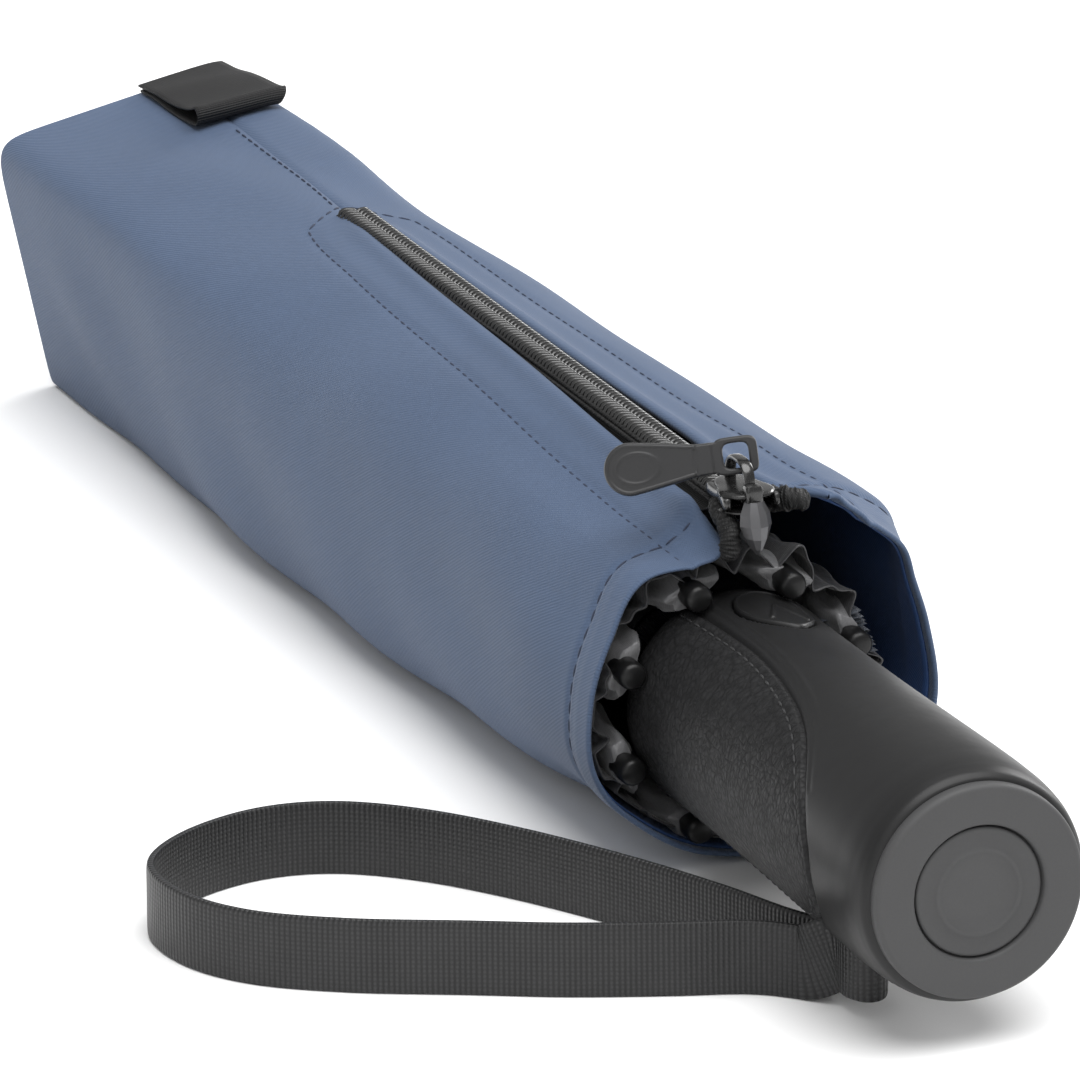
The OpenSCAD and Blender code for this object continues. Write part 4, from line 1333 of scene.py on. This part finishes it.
@dataclass
class Canopy:
    """The open canopy's six half rings and the folded bundle in the sleeve."""

    sleeve: Sleeve
    tilts: tuple[float, float, float] = (75.0, 65.0, 52.0)
    crown: tuple[float, float] = (0.0, 10.0)
    elbow_1: tuple[float, float] = (195.0, 11.5)
    elbow_2: tuple[float, float] = (5.0, 15.5)
    tip: tuple[float, float] = (256.0, 21.0)
    spread: float = 4.0
    half_turn: float = 179.9
    stops: list[Array] = field(default_factory=list)

    def __post_init__(self) -> None:
        """Works out the open profile: each section leaves the last one at its tilt."""
        rest = self.rest()
        self.stops = [rest[0]]
        for k, tilt in enumerate(self.tilts):
            length = np.linalg.norm(rest[k + 1] - rest[k])
            way = np.array([math.cos(math.radians(tilt)), math.sin(math.radians(tilt))])
            self.stops.append(self.stops[-1] + length * way)

    def rest(self) -> list[Array]:
        """The folded arm's corners: crown, the two elbows and the tip."""
        return [np.array(p) for p in (self.crown, self.elbow_1, self.elbow_2, self.tip)]

    def dome(self, s: Array, angle: Array) -> Array:
        """Axial place and radius on the open canopy.

        Args:
            s: 0 at the crown, 1, 2 and 3 at the ends of the three rib sections.
            angle: Degrees round the shaft from the first arm.

        Returns:
            The rib profile, drawn in between ribs and scalloped along its edge.
        """
        stops, at = np.array(self.stops), range(len(self.stops))
        slack = 0.5 - 0.5 * np.cos(np.radians(angle) * DATUM.arms)
        bow = slack ** 0.8
        reach = s - 0.05 * bow * smooth((s - 2) / 1.0) * (s > 2)
        axial, radius = (np.interp(reach, at, stops[:, k]) for k in (0, 1))
        tilt = np.radians(np.interp(reach, (0.5, 1.5, 2.5), self.tilts))
        lift = 3.2 - bow * np.interp(reach, at, (0, 4.0, 5.0, 17.0))
        return np.stack([axial - lift * np.sin(tilt), radius + lift * np.cos(tilt)], -1)

    def half(self, ring: Ring, side: int) -> None:
        """One half ring, folded beside the first arm.

        The radius and place come from the open dome, carried back into the rib's rest place.
        The offset across the arm is chosen so that turning each point by smoothstep(offset /
        spread) of half a turn brings it to its place, so the offset is the inverse of that.
        """
        order = list(Ring).index(ring)
        start, end = self.rest()[order:order + 2]
        turn = math.radians(self.tilts[order]) - math.atan2(*(end - start)[::-1])
        s = np.linspace(order, order + 1, 26)[:, None]
        want = np.linspace(0, 180.2, 145)[None, :]
        flat = self.dome(*np.broadcast_arrays(s, want))
        share = np.broadcast_to(want, flat.shape[:2]) / 180
        offset = np.zeros_like(share)
        for _ in range(12):  # fixed point: the offset itself turns the point a little
            w = np.clip(share - np.degrees(np.arctan2(offset, flat[..., 1]))
                        / self.half_turn, 0, 1)
            offset = self.spread * (0.5 - np.sin(np.arcsin(1 - 2 * w) / 3))
        radius = np.sqrt(np.clip(flat[..., 1] ** 2 - offset**2, 1, None))
        moved = np.stack([flat[..., 0], radius], -1) - self.stops[order]
        c, n = math.cos(-turn), math.sin(-turn)
        back = np.stack([moved[..., 0] * c - moved[..., 1] * n,
                         moved[..., 0] * n + moved[..., 1] * c], -1) + start
        points = DATUM.arm(1, np.concatenate([back, (side * offset)[..., None]], -1))
        around = np.radians(want)
        uv = np.stack([flat[..., 1] * np.cos(around), flat[..., 1] * np.sin(around)], -1) / 10
        word = "left" if side > 0 else "right"
        node = f"canopy_{ring.value}_{word}"
        piece = Parts().grid(points, uv).piece(f"{node}_cloth", node, CANOPY_OUTSIDE,
                                               "canopy_cloth", stands_for=[node], rides=False)
        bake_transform(piece)

    def within(self, points: Array, clear: float) -> Array:
        """Draws points in to stay the given clearance inside the sleeve's skin."""
        mid = self.sleeve.middle(points[..., 0])
        rel = points - mid
        r = np.hypot(rel[..., 1], rel[..., 2])
        angle = np.degrees(np.arctan2(-rel[..., 1], rel[..., 2]))
        most = self.sleeve.radius(points[..., 0], angle) - clear
        share = (np.minimum(r, most) / r)[..., None]
        held = mid + rel * share * [0, 1, 1] + rel * [1, 0, 0]
        held[..., 2] = np.maximum(held[..., 2], 0.25 + clear)
        return held

    def bundle(self) -> None:
        """The folded canopy round the ribs: pleats that open into crumpled edges at the mouth."""
        x = np.concatenate([np.linspace(-170, 60, 40), np.linspace(62, 90, 40)])[:, None]
        a = np.linspace(0, 2 * np.pi, 481)[None, :]
        k = (x + 172) / 253
        base = 18.9 + 3.6 * k
        loose = smooth((x - 55) / 30)
        pleat = (0.35 + 1.5 * loose) * np.sin(16 * a + 1.6 * np.sin(3 * a) + x / 23)
        ruffle = loose * (0.7 * np.sin(37 * a + x / 3.1) + 0.5 * np.sin(x / 2.2 - 11 * a)
                          + 0.8 * np.cos(5 * a + x / 6))
        drift = loose * 2.6 * (0.5 + 0.5 * np.cos(a - math.radians(60)))
        r = base + pleat + ruffle * 0.8 + drift
        outer = self.within(DATUM.ring(x, r, np.degrees(a)), 2.0)
        inner = self.within(DATUM.ring(x, r - 0.35, np.degrees(a)), 2.35)
        uv = np.stack(np.broadcast_arrays(x / 10, a * 2.2), -1)
        piece = Parts().slab(outer, inner, uv, ends=False).piece(
            "canopy_bundle", "upper_tube", CANOPY_CLOTH, "canopy_cloth",
            stands_for=["canopy_folds"])
        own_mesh(piece)

    def build(self) -> None:
        """Makes the half rings and the bundle."""
        for ring in Ring:
            for side in (1, -1):
                self.half(ring, side)
        self.bundle()


# ------------------------------------------------------------------------------ studio
@dataclass
class Studio:
    """Plain pale floor, soft lights and the camera."""

    eye: tuple[float, float, float] = (1.7473, -0.6953, 0.6577)
    heading: float = 68.34
    dip: float = 18.60
    roll: float = -0.51
    lens: float = 400.0
    white: float = 0.88
    sky: float = 0.42

    def sun(self, name: str, toward: Sequence[float], strength: float, spread: float) -> None:
        """A far soft light; its direction is given from the object to the light."""
        light = bpy.data.lights.new(name, "SUN")
        light.energy, light.angle = strength, math.radians(spread)
        obj = bpy.data.objects.new(name, light)
        bpy.context.scene.collection.objects.link(obj)
        obj.rotation_euler = Vector(toward).to_track_quat("Z", "Y").to_euler()

    def build(self) -> None:
        """Makes the floor, lights, world and camera."""
        mesh = bpy.data.meshes.new("floor")
        mesh.from_pydata([(-30, -30, 0), (30, -30, 0), (30, 30, 0), (-30, 30, 0)], [],
                         [(0, 1, 2, 3)])
        floor = bpy.data.objects.new("floor", mesh)
        bpy.context.scene.collection.objects.link(floor)
        white = Tree("floor_white")
        white.set(Base_Color=(*(self.white,) * 3, 1), Roughness=0.9, Specular_IOR_Level=0.1)
        mesh.materials.append(white.material)
        world = bpy.context.scene.world or bpy.data.worlds.new("studio")
        bpy.context.scene.world = world
        world.use_nodes = True
        sky = world.node_tree.nodes["Background"].inputs
        sky["Color"].default_value, sky["Strength"].default_value = (1, 1, 1, 1), self.sky
        self.sun("key", (0.22, 0.06, 0.9), 3.9, 60)
        self.sun("rim", (-0.45, 0.85, 0.4), 1.6, 30)
        self.sun("fill", (0.8, -0.6, 0.7), 0.5, 60)
        camera = bpy.data.objects.new("camera", bpy.data.cameras.new("camera"))
        bpy.context.scene.collection.objects.link(camera)
        h, d = math.radians(self.heading), math.radians(self.dip)
        way = Vector((-math.sin(h) * math.cos(d), math.cos(h) * math.cos(d), -math.sin(d)))
        side = way.cross(Vector((0, 0, 1))).normalized()
        top = side.cross(way)
        c, s = math.cos(math.radians(self.roll)), math.sin(math.radians(self.roll))
        right, up = c * side + s * top, -s * side + c * top
        turn = Matrix((right, up, -way)).transposed().to_4x4()
        camera.matrix_world = Matrix.Translation(self.eye) @ turn
        camera.data.lens, camera.data.sensor_width = self.lens, 36
        camera.data.clip_start, camera.data.clip_end = 0.05, 100
        bpy.context.scene.camera = camera
        bpy.context.scene.view_settings.view_transform = "Standard"


def main() -> None:
    """Builds every sub-assembly."""
    logging.basicConfig(level=logging.INFO, format="%(name)s: %(message)s")
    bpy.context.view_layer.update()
    Studio().build()
    WristStrap().build()
    sleeve = Sleeve()
    sleeve.build()
    ZipClosure(sleeve).build()
    Handle().build()
    FoldingFrame().build()
    Canopy(sleeve).build()


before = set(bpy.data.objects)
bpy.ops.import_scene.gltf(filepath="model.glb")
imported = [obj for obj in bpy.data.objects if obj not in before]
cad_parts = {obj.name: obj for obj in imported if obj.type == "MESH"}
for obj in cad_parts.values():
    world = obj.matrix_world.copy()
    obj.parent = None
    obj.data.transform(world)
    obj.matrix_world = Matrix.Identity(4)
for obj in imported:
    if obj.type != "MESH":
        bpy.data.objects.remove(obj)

if __name__ == "__main__":
    main()
